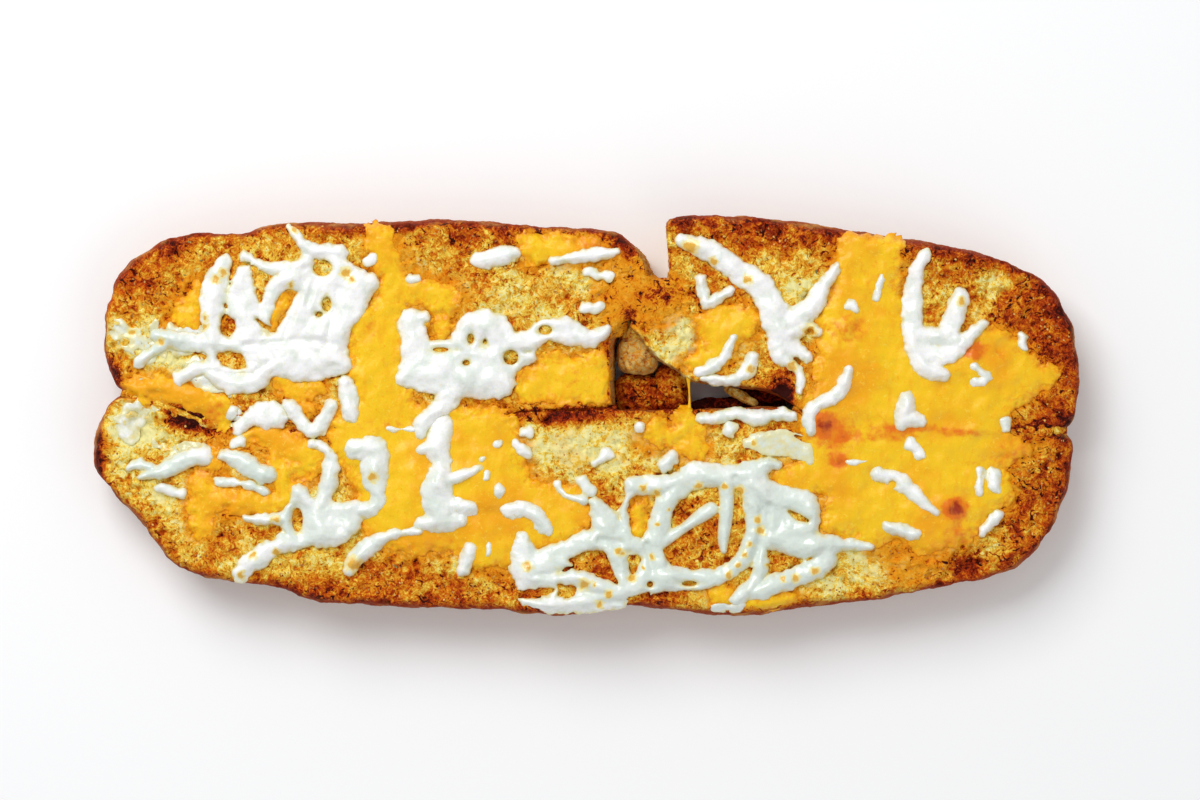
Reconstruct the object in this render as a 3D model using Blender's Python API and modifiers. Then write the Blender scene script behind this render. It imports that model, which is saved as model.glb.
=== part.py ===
"""Cheesy garlic bread: a long roll split lengthwise and opened flat, cut faces up.

The two halves lie side by side along X, crust down, and the back half is torn across.
Melted cheddar lies on the crumb in sheets, and strings of mozzarella lie over both.
+X runs along the roll, +Y to the back half and +Z up; the base is at z = 0.
"""
import math

import bmesh
import bpy
from mathutils import Vector, noise
from mathutils.bvhtree import BVHTree

MM = 0.001

# Bread, in millimetres
CRUMB_HEIGHT = 22.0
END_DROP = 4.0
END_REACH = 148.0
RIM_STEP = 8.0
SEAM_TIGHTNESS = 0.68
RELIEF_LARGE = (1.5, 17.0)
RELIEF_SMALL = (0.6, 7.5)
TOP_RINGS = (0.34, 0.56, 0.78)

# The crust from the flat base up to the cut face: inset from the outline, height
CRUST_PROFILE = (
    (11.5, 0.0),
    (7.5, 1.2),
    (4.0, 4.2),
    (1.2, 9.0),
    (0.0, 14.5),
    (0.3, 18.0),
    (1.8, 20.6),
    (4.8, 22.0),
)

FRONT_SPINE = ((-116.0, -23.0), (112.0, -29.0))
BACK_SPINE = ((-112.0, 29.0), (116.0, 27.0))

FRONT_OUTLINE = (
    (145.4, -7.6), (146, -14), (144, -24), (137, -38), (126, -47), (108, -51), (88, -55),
    (66, -57.5), (45, -60), (24, -58), (10, -57), (-7, -60), (-28, -58.3), (-56, -57.3),
    (-82, -55.5), (-92, -51.8), (-114, -48.5), (-125, -43.5), (-134, -32), (-142, -23.5),
    (-147.5, -16), (-148.3, -8), (-146.2, -2), (-143, 3.4), (-138.4, 5.2), (-130, 2.6),
    (-120, -0.8), (-110, -3.5), (-90, -4.5), (-60, -5.2), (-36, -2.5), (-20, 0.2),
    (8, 0.8), (30, 1.3), (46, 2.3), (60, 1.6), (73, -4.5), (87, -8), (100, -5.8),
    (112, -3.6), (122, -6.2), (131, -5.8), (140, -5.4),
)

BACK_OUTLINE = (
    (-137.6, 7.4), (-142, 10.6), (-144.5, 17), (-145, 25), (-143.6, 34), (-140, 43),
    (-130, 51), (-119, 54.5), (-104, 54.8), (-90, 57.8), (-66, 57.6), (-42, 58.7),
    (-18, 57.1), (4, 56), (24, 59), (40, 60.1), (64, 58), (84, 54.6), (108, 51),
    (126, 46.2), (139, 39), (146, 27), (148, 15), (147.6, 5), (145.4, -2), (140, -3.4),
    (131, -4), (122, -4.4), (112, -1.9), (100, -4), (87, -6.2), (73, -2.8), (63, 2.4),
    (55, 6.9), (44, 8.6), (31, 10.2), (20, 7), (8, 2.4), (-20, 1.8), (-36, -0.8),
    (-60, -3.5), (-90, -2.8), (-110, -1.8), (-120, 1), (-129, 4.4),
)

# Where the back half is torn: the edge of each piece, from the outer rim to the seam
TEAR_TOP = 75.0
TEAR_BOTTOM = -12.0
TEAR_FAR = 165.0
TEAR_LEAN = 1.9
LEFT_TEAR = (
    (11, 75), (12.5, 53.5), (16.4, 48.5), (17.4, 45), (19.2, 41), (19.8, 39.8), (17, 36),
    (13, 31), (9, 26), (6.8, 21.5), (7.6, 18), (7.2, 11), (7.6, 5), (7.4, -12),
)
RIGHT_TEAR = (
    (23.3, 75), (23.6, 55), (24.2, 47), (24.2, 41), (21, 39.3), (18.1, 35.2), (14.1, 30.2),
    (13, 27), (14.6, 25), (18.2, 19.9), (21, 16.7), (26.5, 13.4), (30, 9.8), (31, -12),
)

# Lumps in the torn gap: centre, half sizes
LUMP_SQUARENESS = 0.72
LUMP_SWELL = 0.12
LEDGE_LUMPS = (((19.6, 5.0, 6.0), (9.2, 7.4, 5.2)),)
KNOB_LUMPS = (((16.0, 18.8, 10.5), (5.4, 5.4, 5.2)), ((21.5, 23.0, 9.5), (6.0, 6.0, 5.6)))

# Hollows and burst pores in the cut face: x, y, radius, depth
HOLLOWS = (
    (113.5, -45.0, 5.5, 4.0), (122.5, 39.0, 6.5, 2.2), (-135.0, -5.0, 6.0, 2.0),
    (-112.0, -3.0, 5.0, 1.6), (50.0, 14.0, 4.5, 1.8), (26.0, -30.0, 6.0, 1.2),
    (78.0, -47.0, 9.0, 1.4), (-60.0, 30.0, 7.0, 0.8),
)

# Melted cheese
SHELF = 0.5
VOXEL = 1.15
CLEARANCE = 0.42
FEEL_RADIUS = 2.2
SOFTENING = 3
PATCH_HALF = 1.9
PATH_STEP = 2.0

# How high each cheese stands, and the share of its facets that is kept
CHEDDAR_MELT = (1.1, 0.072)
MOZZARELLA_MELT = (2.1, 0.112)

# A strand lists x, y and width along its middle; a patch lists its outline
CHEDDAR = {
    "cheddar_left_band": {
        "strands": (
            ((-138, 9.2, 3), (-129, 8.6, 4), (-120, 8.2, 4), (-113, 5, 5), (-110.5, -0.5, 7)),
        ),
    },
    "cheddar_seam_wedge": {
        "strands": (((-91, 11, 4), (-87, 6.5, 6), (-83.5, 3, 4)), ((-87, 8, 5), (-80, 8.6, 4))),
    },
    "cheddar_front_left": {
        "strands": (
            ((-115, -20, 7), (-115.5, -28, 8), (-115, -33.5, 5)),
            ((-113, -26, 7), (-100, -26, 7), (-90, -25, 7), (-91, -16, 7)),
            ((-102, -6, 6), (-94, -5.5, 8), (-88, -10, 9), (-82, -14, 9), (-90, -16, 7)),
        ),
    },
    "cheddar_middle": {
        "patches": (
            (
                (-66, 57), (-60, 57), (-55.5, 47), (-51.5, 39.5), (-55, 31), (-54, 20),
                (-53.5, 11), (-50, 4), (-34, 2.6), (-21, -1), (-19, -12), (-13, -20.5),
                (-2, -22), (1, -30), (-3, -38), (-13, -39), (-23, -44.5), (-33, -46),
                (-39, -40.8), (-53, -41.2), (-65, -36), (-68.5, -29), (-69, -20),
                (-76, -11), (-77, -1), (-70, 4), (-71, 16), (-70.5, 26), (-67, 32),
                (-62.5, 39), (-64.6, 47),
            ),
        ),
        "strands": (((-57, 40, 5), (-50, 37.5, 8), (-43, 35, 9)), ((-45, 35, 6), (-42.5, 25.5, 5))),
    },
    "cheddar_top_patch": {
        "patches": (
            ((-20, 53.6), (-12, 54.6), (-3, 53.6), (5, 51), (2, 47.5), (-10, 45.6), (-19, 46.4)),
        ),
    },
    "cheddar_tab": {
        "patches": (
            ((-20.5, 5), (-20, 12.5), (-12, 17.8), (0, 18.2), (5.8, 17.6), (5.6, 5), (-8, 3.4)),
        ),
    },
    "cheddar_gap_patch": {
        "patches": (
            (
                (33, 26.5), (37, 32), (45, 33), (51.5, 31), (51.5, 26), (46, 21.5),
                (41.5, 15), (36, 12.8), (31, 14), (29.5, 17), (35, 21),
            ),
        ),
    },
    "cheddar_gap_drop": {
        "strands": (((29.5, -1.6, 6.5), (30.6, -9.5, 9)), ((21.5, -5, 7.5), (29.5, -6.5, 6))),
    },
    "cheddar_right": {
        "patches": (
            (
                (75.5, 53.6), (86, 54), (95, 52), (93.6, 44), (95.5, 33), (99, 22),
                (111, 20), (120, 26.5), (128, 24), (137, 16.5), (142, 12), (135.5, 7.5),
                (127, 1), (128, -6), (132.5, -10.8), (125, -15.5), (128.5, -23.3),
                (118.5, -33), (109.5, -40), (98.5, -40.2), (91, -37), (86.5, -39.4),
                (75, -35.8), (70, -33), (71, -25), (57, -22), (56.5, -16), (64, -12),
                (64, -1), (68.5, 12), (70, 30), (74, 40),
            ),
        ),
    },
    "cheddar_edge_strip": {
        "strands": (((49, -56.6, 3.5), (55, -56.2, 4), (61.5, -54.6, 3.5)),),
    },
}

MOZZARELLA = {
    "mozzarella_nest": {
        "strands": (
            ((-109.5, 46, 5.5), (-111.5, 38, 6.5), (-111.5, 30, 7), (-111, 22, 6)),
            ((-103, 44, 5.5), (-104, 35, 6), (-102.5, 20, 6)),
            ((-101, 47.2, 4), (-97, 44.4, 3.5), (-88, 44, 4), (-83.5, 46.5, 4)),
            ((-96, 43, 5), (-97.5, 36, 5), (-97, 29, 5), (-95, 20, 6)),
            ((-80, 40.5, 6), (-85, 32, 7), (-90, 24, 7), (-93, 18, 8)),
            ((-76, 46, 6), (-78, 35, 6), (-79.5, 25, 6.5), (-82, 17, 8)),
            ((-65.5, 39.5, 6), (-70, 32.5, 7), (-74.5, 24, 7), (-77, 17, 9)),
            ((-89.3, 56.6, 1.8), (-86, 53, 2.6), (-82.5, 49.5, 4), (-74, 48.8, 5)),
            ((-75, 46, 4), (-70, 43, 4), (-65, 39.5, 5)),
            ((-101, 19.5, 8), (-93, 18.5, 12), (-85, 17, 14), (-77, 17, 11), (-73, 15.5, 6)),
            ((-143, 24.5, 5), (-134, 24.5, 6), (-122, 22.6, 6), (-112, 21.5, 5), (-103, 20.5, 6)),
            ((-125, 22.5, 3.5), (-134, 16.2, 3.2)),
            ((-113, 21, 3.5), (-111.5, 14.8, 3.5)),
            ((-122, 11.2, 4), (-117, 13.8, 4), (-109, 14.6, 4), (-98, 14.6, 5)),
            ((-113, 12.8, 4), (-106, 9.6, 6), (-98.5, 10.5, 6), (-96.5, 15, 5)),
        ),
    },
    "mozzarella_pool": {
        "strands": (
            ((-54.5, 11.5, 5), (-47, 14.5, 15), (-37, 13.5, 16), (-29, 12, 14), (-24.5, 9.5, 7)),
            ((-52.5, 28.5, 7), (-51, 21, 9), (-48, 14, 14)),
            ((-53, 27, 6), (-48.5, 29.6, 3.5)),
            ((-38, 19, 8), (-33.5, 26.5, 9), (-28.5, 27, 8), (-25, 23, 9), (-24, 16, 9)),
            ((-25, 21, 7), (-17, 22.5, 6.5), (-12, 25.5, 7), (-6, 25.3, 7.5), (0, 23.3, 6),
             (4, 24, 4), (6.3, 26, 2)),
            ((-26, 17, 8), (-16.5, 17.2, 3)),
            ((-40, 8, 8), (-43, 2.6, 5), (-46, 0.8, 5), (-49.2, -2.7, 5), (-49.6, -5.4, 4)),
        ),
    },
    "mozzarella_top_dash": {
        "strands": (((-32.4, 46.3, 4), (-27, 47.5, 6), (-21.6, 49, 4)),),
    },
    "mozzarella_top_thread": {
        "strands": (((-10, 46.3, 1.8), (-4, 47.2, 3), (2, 48, 4), (9.5, 48.8, 1.8)),),
    },
    "mozzarella_arch": {
        "strands": (
            ((28.5, 51.8, 4), (36, 49.7, 6.5), (46.4, 42.5, 7), (51.5, 39.5, 7.5), (54, 35.3, 8),
             (56.7, 29.2, 9), (58.2, 23, 8), (57.7, 18, 5)),
            ((75, 45, 2), (70.4, 37.5, 5), (66.6, 31.5, 6), (59, 27.5, 7)),
            ((59, 24, 5), (65, 26.4, 4.5), (69, 25, 3)),
            ((59, 21.5, 5), (66, 17.8, 3.6)),
            ((58, 18.5, 4), (63.6, 12.5, 2.6), (63.6, 7, 2.2)),
        ),
    },
    "mozzarella_vee": {
        "strands": (((34, 41, 2.8), (35, 37, 3), (36, 33.4, 3), (42.6, 37, 3)),),
    },
    "mozzarella_gap_curl": {
        "strands": (((43.8, 23.4, 2), (41.3, 18, 3.4), (37, 14.4, 3.6), (33.6, 12.6, 2.4)),),
    },
    "mozzarella_gap_lip": {
        "strands": (((48.5, 17.4, 4), (47, 13.4, 4.4), (42.6, 11.4, 3.6), (37, 11, 2.4)),),
    },
    "mozzarella_hook": {
        "strands": (
            ((101, 47.8, 3.5), (98.8, 43, 4.5), (97.7, 34.8, 6), (97.7, 24, 6), (98.8, 18.4, 6),
             (102, 14, 6), (106.4, 12, 5)),
            ((98.8, 21, 6), (103, 18.6, 6), (108.6, 18.4, 6), (112.4, 21.7, 5), (115.7, 25, 4),
             (118.6, 27.4, 3)),
            ((99, 24, 6), (105.5, 23.5, 6), (110, 22.5, 6)),
            ((112, 35.3, 5.5), (110.8, 31.5, 6), (108.4, 24.5, 6)),
        ),
    },
    "mozzarella_seam_drip": {
        "strands": (
            ((78.6, 14, 3.4), (75.9, 8.6, 3.5), (73.2, 5.3, 3.5), (68.3, 2.6, 3.5), (66, 0, 3.5),
             (67, -4.6, 3)),
        ),
    },
    "mozzarella_boot": {
        "strands": (((95.6, 4.8, 5), (94.6, 0, 5), (94, -2.6, 3.5)), ((94.6, -1, 5), (100, -1.6, 4))),
    },
    "mozzarella_left_arm": {
        "strands": (((-136, -18, 3.5), (-127, -16.5, 5), (-120, -13.6, 5.5), (-114.6, -11, 5.6)),),
    },
    "mozzarella_left_bar": {
        "strands": (((-108, -12.4, 5), (-101, -15, 6), (-95, -17.4, 5.4)),),
    },
    "mozzarella_seam_lobe": {
        "strands": (((-104, -3.6, 4), (-99.5, 0.2, 5), (-95, 0.2, 9), (-92, -0.6, 5)),),
    },
    "mozzarella_seam_vee": {
        "strands": (((-89, 3, 4), (-82, -4.6, 4.5), (-76.2, 3, 4.2)),),
    },
    "mozzarella_seam_drop": {
        "strands": (((-72, 9.4, 5), (-71, 5, 6), (-70.5, 0.4, 5)),),
    },
    "mozzarella_slab": {
        "strands": (
            ((-86, -22.6, 4.5), (-83, -29, 9), (-79, -33, 13), (-73, -31.5, 11), (-70, -28.5, 6)),
            ((-104, -47.2, 5), (-99, -43.4, 6), (-93, -39, 6), (-85.5, -36.8, 5.5), (-78, -34, 9)),
            ((-88.6, -35, 3), (-90, -31.4, 3.2), (-88, -26.4, 3), (-85.5, -24, 4)),
            ((-102, -30.6, 2), (-96, -31, 3.4), (-89.6, -31, 3.4)),
            ((-69.5, -10, 6), (-63, -10.5, 8), (-63.6, -17.5, 8), (-62, -24, 4.5),
             (-64.6, -27.8, 4.5), (-71, -28.6, 5)),
            ((-82, -8.2, 2.6), (-77, -11, 2.6), (-76.6, -17.5, 5.5), (-79.5, -27, 4)),
        ),
    },
    "mozzarella_middle_arm": {
        "strands": (((-50, -34.6, 1.8), (-58.5, -35.5, 3), (-63.5, -38.2, 5), (-68.2, -41.7, 5),
                     (-71.2, -46, 4)),),
    },
    "mozzarella_tree": {
        "strands": (
            ((-42.8, -2.8, 6), (-44.4, -8.4, 8), (-43.6, -15, 6), (-44.8, -23, 10), (-43.8, -28, 9),
             (-43.5, -31.4, 7)),
            ((-49.4, -32, 4), (-43.5, -31.8, 6), (-37.6, -31.4, 4)),
            ((-49, -10, 3.6), (-45, -9.4, 5)),
            ((-43.5, -19.4, 4), (-38.6, -18.4, 3.6), (-32, -15.4, 2)),
            ((-42, -26.6, 5), (-34.8, -27.4, 4.6)),
        ),
    },
    "mozzarella_small_arch": {
        "strands": (((-23, -28.4, 5), (-18.5, -27.8, 5), (-14.4, -30.4, 5), (-12.3, -33.4, 5)),),
    },
    "mozzarella_middle_drop": {
        "strands": (((-35, -39.6, 4), (-36.8, -46, 4)),),
    },
    "mozzarella_seam_rope": {
        "strands": (
            ((34, -1.2, 3), (40, -0.6, 4), (44.4, 0.2, 4.2), (49, -0.8, 4), (57, -0.4, 4.2),
             (60.4, -1, 3.6)),
        ),
    },
    "mozzarella_crumb_drop": {
        "strands": (((25.6, -12.6, 4), (23, -14.6, 4.6)),),
    },
    "mozzarella_veil": {
        "strands": (((48, -7.3, 5), (54, -8.3, 7.4), (61, -9.6, 6), (65.4, -11.6, 4)),),
    },
    "mozzarella_net": {
        "strands": (
            ((13.6, -21, 5), (26, -20.6, 6), (33.6, -17.8, 8), (41.3, -18, 6), (49, -17.8, 8),
             (54, -14.4, 4), (57.4, -14.8, 2.4)),
            ((27.5, -21.6, 7), (22.8, -31, 8), (20.8, -37, 8), (20.8, -42, 8), (18.7, -48.6, 8)),
            ((14.4, -22, 2.6), (11, -28, 2), (13.4, -37, 3)),
            ((42, -26.4, 4), (38, -27.4, 4), (31, -31, 3), (24, -34.4, 4)),
            ((41.3, -18.5, 4.6), (42.3, -31, 3.2), (41, -37.6, 2.6), (42.4, -46.6, 3)),
            ((49, -19.6, 8), (50, -27, 6), (50, -33.5, 5), (48.5, -40, 5), (45.4, -44.7, 5),
             (41.3, -47.3, 5), (36, -48.8, 6), (28.5, -48.8, 6.5), (20, -48.3, 9)),
            ((49, -20.5, 8), (58, -26, 10), (65.5, -27.4, 9), (65.6, -32, 7), (64, -37.4, 7)),
            ((55, -25.8, 6), (54.6, -33.5, 6), (52.6, -41, 5.5), (51.5, -46, 5), (48, -52.4, 5),
             (44.6, -55.4, 3.6)),
            ((54.5, -36, 6), (63, -38.4, 8), (73, -38.6, 5), (81, -38.8, 3), (85, -39.4, 2)),
            ((72.6, -39, 6), (71.4, -44, 6), (62, -48.4, 6), (54, -51.5, 6), (49.4, -53, 4)),
            ((-19.5, -36.4, 4), (-18.2, -44, 9), (-18.4, -51.4, 5), (-18, -54.6, 4),
             (-9, -56.8, 4.6), (0, -55.4, 4.6), (9, -53.4, 5)),
            ((-19, -45.4, 8), (-10, -42.6, 8), (0, -38.8, 8), (8, -36, 8.5), (20, -38.4, 8)),
            ((2.8, -26.3, 4), (5, -31, 8), (8, -36, 9)),
            ((-18, -48.6, 6), (-10, -49.4, 4), (-2, -48.6, 5), (3.4, -51, 5), (10, -52.6, 6)),
            ((5.6, -39, 8), (9.5, -46, 7.4), (11.5, -51.4, 7), (19, -49, 8)),
        ),
    },
    "mozzarella_right_wave": {
        "strands": (((86.8, -17.3, 4), (91.2, -18.6, 5), (95.5, -21.2, 5), (100, -25, 4),
                     (104.4, -28.8, 2.2)),),
    },
    "mozzarella_right_drop": {
        "strands": (((89.6, -32.7, 2.4), (94.4, -34.6, 4.4), (98.5, -35.5, 3.2)),),
    },
    "mozzarella_end_dash": {
        "strands": (((123.6, -29.8, 3), (118.8, -34.6, 3)),),
    },
}


def clear_scene():
    for item in list(bpy.data.objects):
        bpy.data.objects.remove(item, do_unlink=True)


def new_collection(name):
    collection = bpy.data.collections.new(name)
    bpy.context.scene.collection.children.link(collection)
    return collection


def make_material(name, colour, roughness):
    material = bpy.data.materials.new(name)
    material.use_nodes = True
    shader = material.node_tree.nodes["Principled BSDF"]
    shader.inputs["Base Color"].default_value = (*colour, 1.0)
    shader.inputs["Roughness"].default_value = roughness
    shader.inputs["Metallic"].default_value = 0.0
    return material


def add_object(name, data, collection, material=None):
    item = bpy.data.objects.new(name, data)
    collection.objects.link(item)
    if material is not None:
        data.materials.append(material)
    return item


def evaluated_mesh(item):
    """A plain mesh of an object as its modifiers leave it."""
    graph = bpy.context.evaluated_depsgraph_get()
    return bpy.data.meshes.new_from_object(item.evaluated_get(graph))


def smooth_path(points, step, closed):
    """Even steps along a Catmull-Rom curve through points of any number of values."""
    count = len(points)
    path = []
    for i in range(count if closed else count - 1):
        if closed:
            a, b, c, d = (points[(i + k - 1) % count] for k in range(4))
        else:
            a, b, c, d = (points[min(max(i + k - 1, 0), count - 1)] for k in range(4))
        pieces = max(1, round(math.dist(b[:2], c[:2]) / step))
        for j in range(pieces):
            t = j / pieces
            path.append(tuple(
                q + 0.5 * t * (r - p + t * (2 * p - 5 * q + 4 * r - s + t * (3 * (q - r) + s - p)))
                for p, q, r, s in zip(a, b, c, d)
            ))
    if not closed:
        path.append(tuple(float(value) for value in points[-1]))
    return path


def nearest_on_spine(x, y, spine):
    start, end = Vector(spine[0]), Vector(spine[1])
    along = (Vector((x, y)) - start).dot(end - start) / (end - start).length_squared
    return start.lerp(end, min(1.0, max(0.0, along)))


def relief(x, y):
    """Height of the torn, toasted crumb above its mean level."""
    height = 0.0
    for amount, scale in (RELIEF_LARGE, RELIEF_SMALL):
        height += amount * noise.noise(Vector((x / scale, y / scale, amount)))
    for cx, cy, radius, depth in HOLLOWS:
        far = math.dist((x, y), (cx, cy)) / radius
        height -= depth * math.exp(-far * far)
    return height


def cut_face_level(x):
    """The roll is a little thinner towards its ends."""
    return -END_DROP * (abs(x) / END_REACH) ** 4


def bread_half(name, outline, spine, seam_side, collection, material):
    """A loft from the flat base, round the crust and in over the cut face.

    The crust is rounded outside and pressed flat where the two halves meet.
    """
    rim = smooth_path(outline, RIM_STEP, True)
    mesh = bmesh.new()
    rings = []
    for inset, height in CRUST_PROFILE:
        ring = []
        for x, y in rim:
            middle = nearest_on_spine(x, y, spine)
            point = Vector((x, y))
            reach = (middle - point).length
            towards_seam = max(0.0, seam_side * (y - middle.y) / reach)
            tucked = inset * (1.0 - SEAM_TIGHTNESS * towards_seam ** 2)
            point = point.lerp(middle, min(tucked / reach, 0.8))
            share = height / CRUMB_HEIGHT
            z = height + share * cut_face_level(point.x) + share ** 4 * 0.6 * relief(*point)
            ring.append(mesh.verts.new((point.x * MM, point.y * MM, z * MM)))
        rings.append(ring)
    for part in TOP_RINGS:
        ring = []
        for x, y in rim:
            point = Vector((x, y)).lerp(nearest_on_spine(x, y, spine), part)
            z = CRUMB_HEIGHT + cut_face_level(point.x) + relief(*point)
            ring.append(mesh.verts.new((point.x * MM, point.y * MM, z * MM)))
        rings.append(ring)
    for lower, upper in zip(rings, rings[1:]):
        for i in range(len(rim)):
            j = (i + 1) % len(rim)
            mesh.faces.new((lower[i], lower[j], upper[j], upper[i]))
    mesh.faces.new(rings[0])
    mesh.faces.new(rings[-1])
    bmesh.ops.triangulate(mesh, faces=mesh.faces[:])
    bmesh.ops.recalc_face_normals(mesh, faces=mesh.faces[:])
    data = bpy.data.meshes.new(name)
    mesh.to_mesh(data)
    mesh.free()
    return add_object(name, data, collection, material)


def tear_cutter(name, edge, side, cutters):
    """A prism beyond one torn edge, whose cut leans out towards the base."""
    far = side * TEAR_FAR
    corners = list(edge) + [(far, TEAR_BOTTOM), (far, TEAR_TOP)]
    curve = bpy.data.curves.new(name, "CURVE")
    curve.dimensions = "2D"
    curve.fill_mode = "BOTH"
    curve.extrude = 2 * CRUMB_HEIGHT * MM
    spline = curve.splines.new("POLY")
    spline.points.add(len(corners) - 1)
    for point, (x, y) in zip(spline.points, corners):
        point.co = (x * MM, y * MM, 0.0, 1.0)
    spline.use_cyclic_u = True
    outline = add_object(name + "_outline", curve, cutters)
    data = evaluated_mesh(outline)
    bpy.data.objects.remove(outline)
    mesh = bmesh.new()
    mesh.from_mesh(data)
    bmesh.ops.remove_doubles(mesh, verts=mesh.verts[:], dist=0.00001)
    for vertex in mesh.verts:
        vertex.co.x += TEAR_LEAN * MM * (1.0 - vertex.co.z / (CRUMB_HEIGHT * MM))
    bmesh.ops.recalc_face_normals(mesh, faces=mesh.faces[:])
    mesh.to_mesh(data)
    mesh.free()
    return hide_cutter(add_object(name, data, cutters))


def hide_cutter(item):
    item.display_type = "WIRE"
    item.hide_render = True
    return item


def boolean(item, other, operation):
    modifier = item.modifiers.new(operation.title(), "BOOLEAN")
    modifier.operation = operation
    modifier.object = other
    modifier.solver = "EXACT"


def add_lumps(item, lumps, cutters):
    """Torn crumb that stands in the gap, fused to the piece it belongs to."""
    for index, (centre, half) in enumerate(lumps):
        mesh = bmesh.new()
        bmesh.ops.create_uvsphere(mesh, u_segments=14, v_segments=9, radius=1.0)
        for vertex in mesh.verts:
            swell = 1.0 + LUMP_SWELL * noise.noise(vertex.co * 2.1 + Vector(centre))
            vertex.co = Vector(
                (c + h * swell * math.copysign(abs(v) ** LUMP_SQUARENESS, v)) * MM
                for c, h, v in zip(centre, half, vertex.co)
            )
        data = bpy.data.meshes.new("{}_lump_{}".format(item.name, index + 1))
        mesh.to_mesh(data)
        mesh.free()
        boolean(item, hide_cutter(add_object(data.name, data, cutters)), "UNION")


def strand_tube(points, holder):
    """A round tube along a smooth path, as wide at each point as the strand is."""
    path = smooth_path(points, PATH_STEP, False)
    curve = bpy.data.curves.new("strand", "CURVE")
    curve.dimensions = "3D"
    curve.bevel_depth = MM
    curve.bevel_resolution = 3
    curve.use_fill_caps = True
    spline = curve.splines.new("POLY")
    spline.points.add(len(path) - 1)
    for point, (x, y, width) in zip(spline.points, path):
        point.co = (x * MM, y * MM, 0.0, 1.0)
        point.radius = width / 2
    return add_object("strand", curve, holder)


def patch_plate(points, holder):
    curve = bpy.data.curves.new("patch", "CURVE")
    curve.dimensions = "2D"
    curve.fill_mode = "BOTH"
    curve.extrude = PATCH_HALF * MM
    path = smooth_path(points, PATH_STEP, True)
    spline = curve.splines.new("POLY")
    spline.points.add(len(path) - 1)
    for point, (x, y) in zip(spline.points, path):
        point.co = (x * MM, y * MM, 0.0, 1.0)
    spline.use_cyclic_u = True
    return add_object("patch", curve, holder)


def melted_shape(design, holder):
    """Strands and patches run together into one soft flat body about z = 0."""
    pieces = [strand_tube(points, holder) for points in design.get("strands", ())]
    pieces += [patch_plate(points, holder) for points in design.get("patches", ())]
    mesh = bmesh.new()
    for piece in pieces:
        data = evaluated_mesh(piece)
        mesh.from_mesh(data)
        bpy.data.meshes.remove(data)
        bpy.data.objects.remove(piece)
    joined = bpy.data.meshes.new("joined")
    mesh.to_mesh(joined)
    mesh.free()
    item = add_object("joined", joined, holder)
    remesh = item.modifiers.new("Melt", "REMESH")
    remesh.mode = "VOXEL"
    remesh.voxel_size = VOXEL * MM
    melted = evaluated_mesh(item)
    bpy.data.objects.remove(item)
    return melted


def ground_tree(items):
    """A search tree over every solid made so far, in millimetres."""
    points, faces = [], []
    for item in items:
        data = evaluated_mesh(item)
        data.calc_loop_triangles()
        start = len(points)
        points += [vertex.co / MM for vertex in data.vertices]
        faces += [[start + i for i in loop.vertices] for loop in data.loop_triangles]
        bpy.data.meshes.remove(data)
    return BVHTree.FromPolygons(points, faces)


def ground_height(tree, x, y):
    """The highest ground within reach of a point, so that a facet clears it too."""
    best = None
    feelers = [(x, y)]
    for k in range(8):
        angle = k * math.pi / 4
        feelers.append((x + FEEL_RADIUS * math.cos(angle), y + FEEL_RADIUS * math.sin(angle)))
    for fx, fy in feelers:
        hit = tree.ray_cast(Vector((fx, fy, 60.0)), Vector((0, 0, -1)))[0]
        if hit is not None and (best is None or hit.z > best):
            best = hit.z
    return CRUMB_HEIGHT - END_DROP if best is None else best


def lay_cheese(name, design, melt, tree, holder, collection, material):
    """Lay one piece of melted cheese over the ground and thin out its facets."""
    dome, kept = melt
    data = melted_shape(design, holder)
    mesh = bmesh.new()
    mesh.from_mesh(data)
    for _ in range(SOFTENING):
        bmesh.ops.smooth_vert(mesh, verts=mesh.verts[:], factor=0.5, use_axis_x=True,
                              use_axis_y=True, use_axis_z=True)
    for vertex in mesh.verts:
        x, y, z = vertex.co / MM
        rise = SHELF + dome * math.tanh(z / dome) if z > 0 else 0.0
        vertex.co.z = (ground_height(tree, x, y) + CLEARANCE + rise) * MM
    mesh.to_mesh(data)
    mesh.free()
    draft = add_object(name + "_draft", data, holder)
    thin = draft.modifiers.new("Thin", "DECIMATE")
    thin.ratio = kept
    thin.use_collapse_triangulate = True
    laid = evaluated_mesh(draft)
    bpy.data.objects.remove(draft)
    return add_object(name, laid, collection, material)


def main():
    clear_scene()
    loaf = new_collection("cheesy_garlic_bread")
    cutters = new_collection("cutters")
    toast = make_material("toasted_bread", (0.55, 0.27, 0.08), 0.85)
    torn = make_material("toasted_bread_torn", (0.58, 0.30, 0.10), 0.85)
    edge = make_material("toasted_bread_edge", (0.50, 0.23, 0.07), 0.85)
    cheddar = make_material("cheddar", (0.86, 0.52, 0.03), 0.35)
    mozzarella = make_material("mozzarella", (0.88, 0.88, 0.80), 0.35)

    front = bread_half("bread_front", FRONT_OUTLINE, FRONT_SPINE, 1, loaf, toast)
    add_lumps(front, LEDGE_LUMPS, cutters)
    left = bread_half("bread_back_left", BACK_OUTLINE, BACK_SPINE, -1, loaf, torn)
    boolean(left, tear_cutter("beyond_left_piece", LEFT_TEAR, 1, cutters), "DIFFERENCE")
    right = bread_half("bread_back_right", BACK_OUTLINE, BACK_SPINE, -1, loaf, edge)
    boolean(right, tear_cutter("beyond_right_piece", RIGHT_TEAR, -1, cutters), "DIFFERENCE")
    add_lumps(right, KNOB_LUMPS, cutters)

    laid = [front, left, right]
    for designs, melt, material in (
        (CHEDDAR, CHEDDAR_MELT, cheddar),
        (MOZZARELLA, MOZZARELLA_MELT, mozzarella),
    ):
        for name, design in designs.items():
            tree = ground_tree(laid)
            laid.append(lay_cheese(name, design, melt, tree, cutters, loaf, material))
    for item in laid:
        item.data.shade_smooth()
        item.data.set_sharp_from_angle(angle=math.radians(50))


main()
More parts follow.
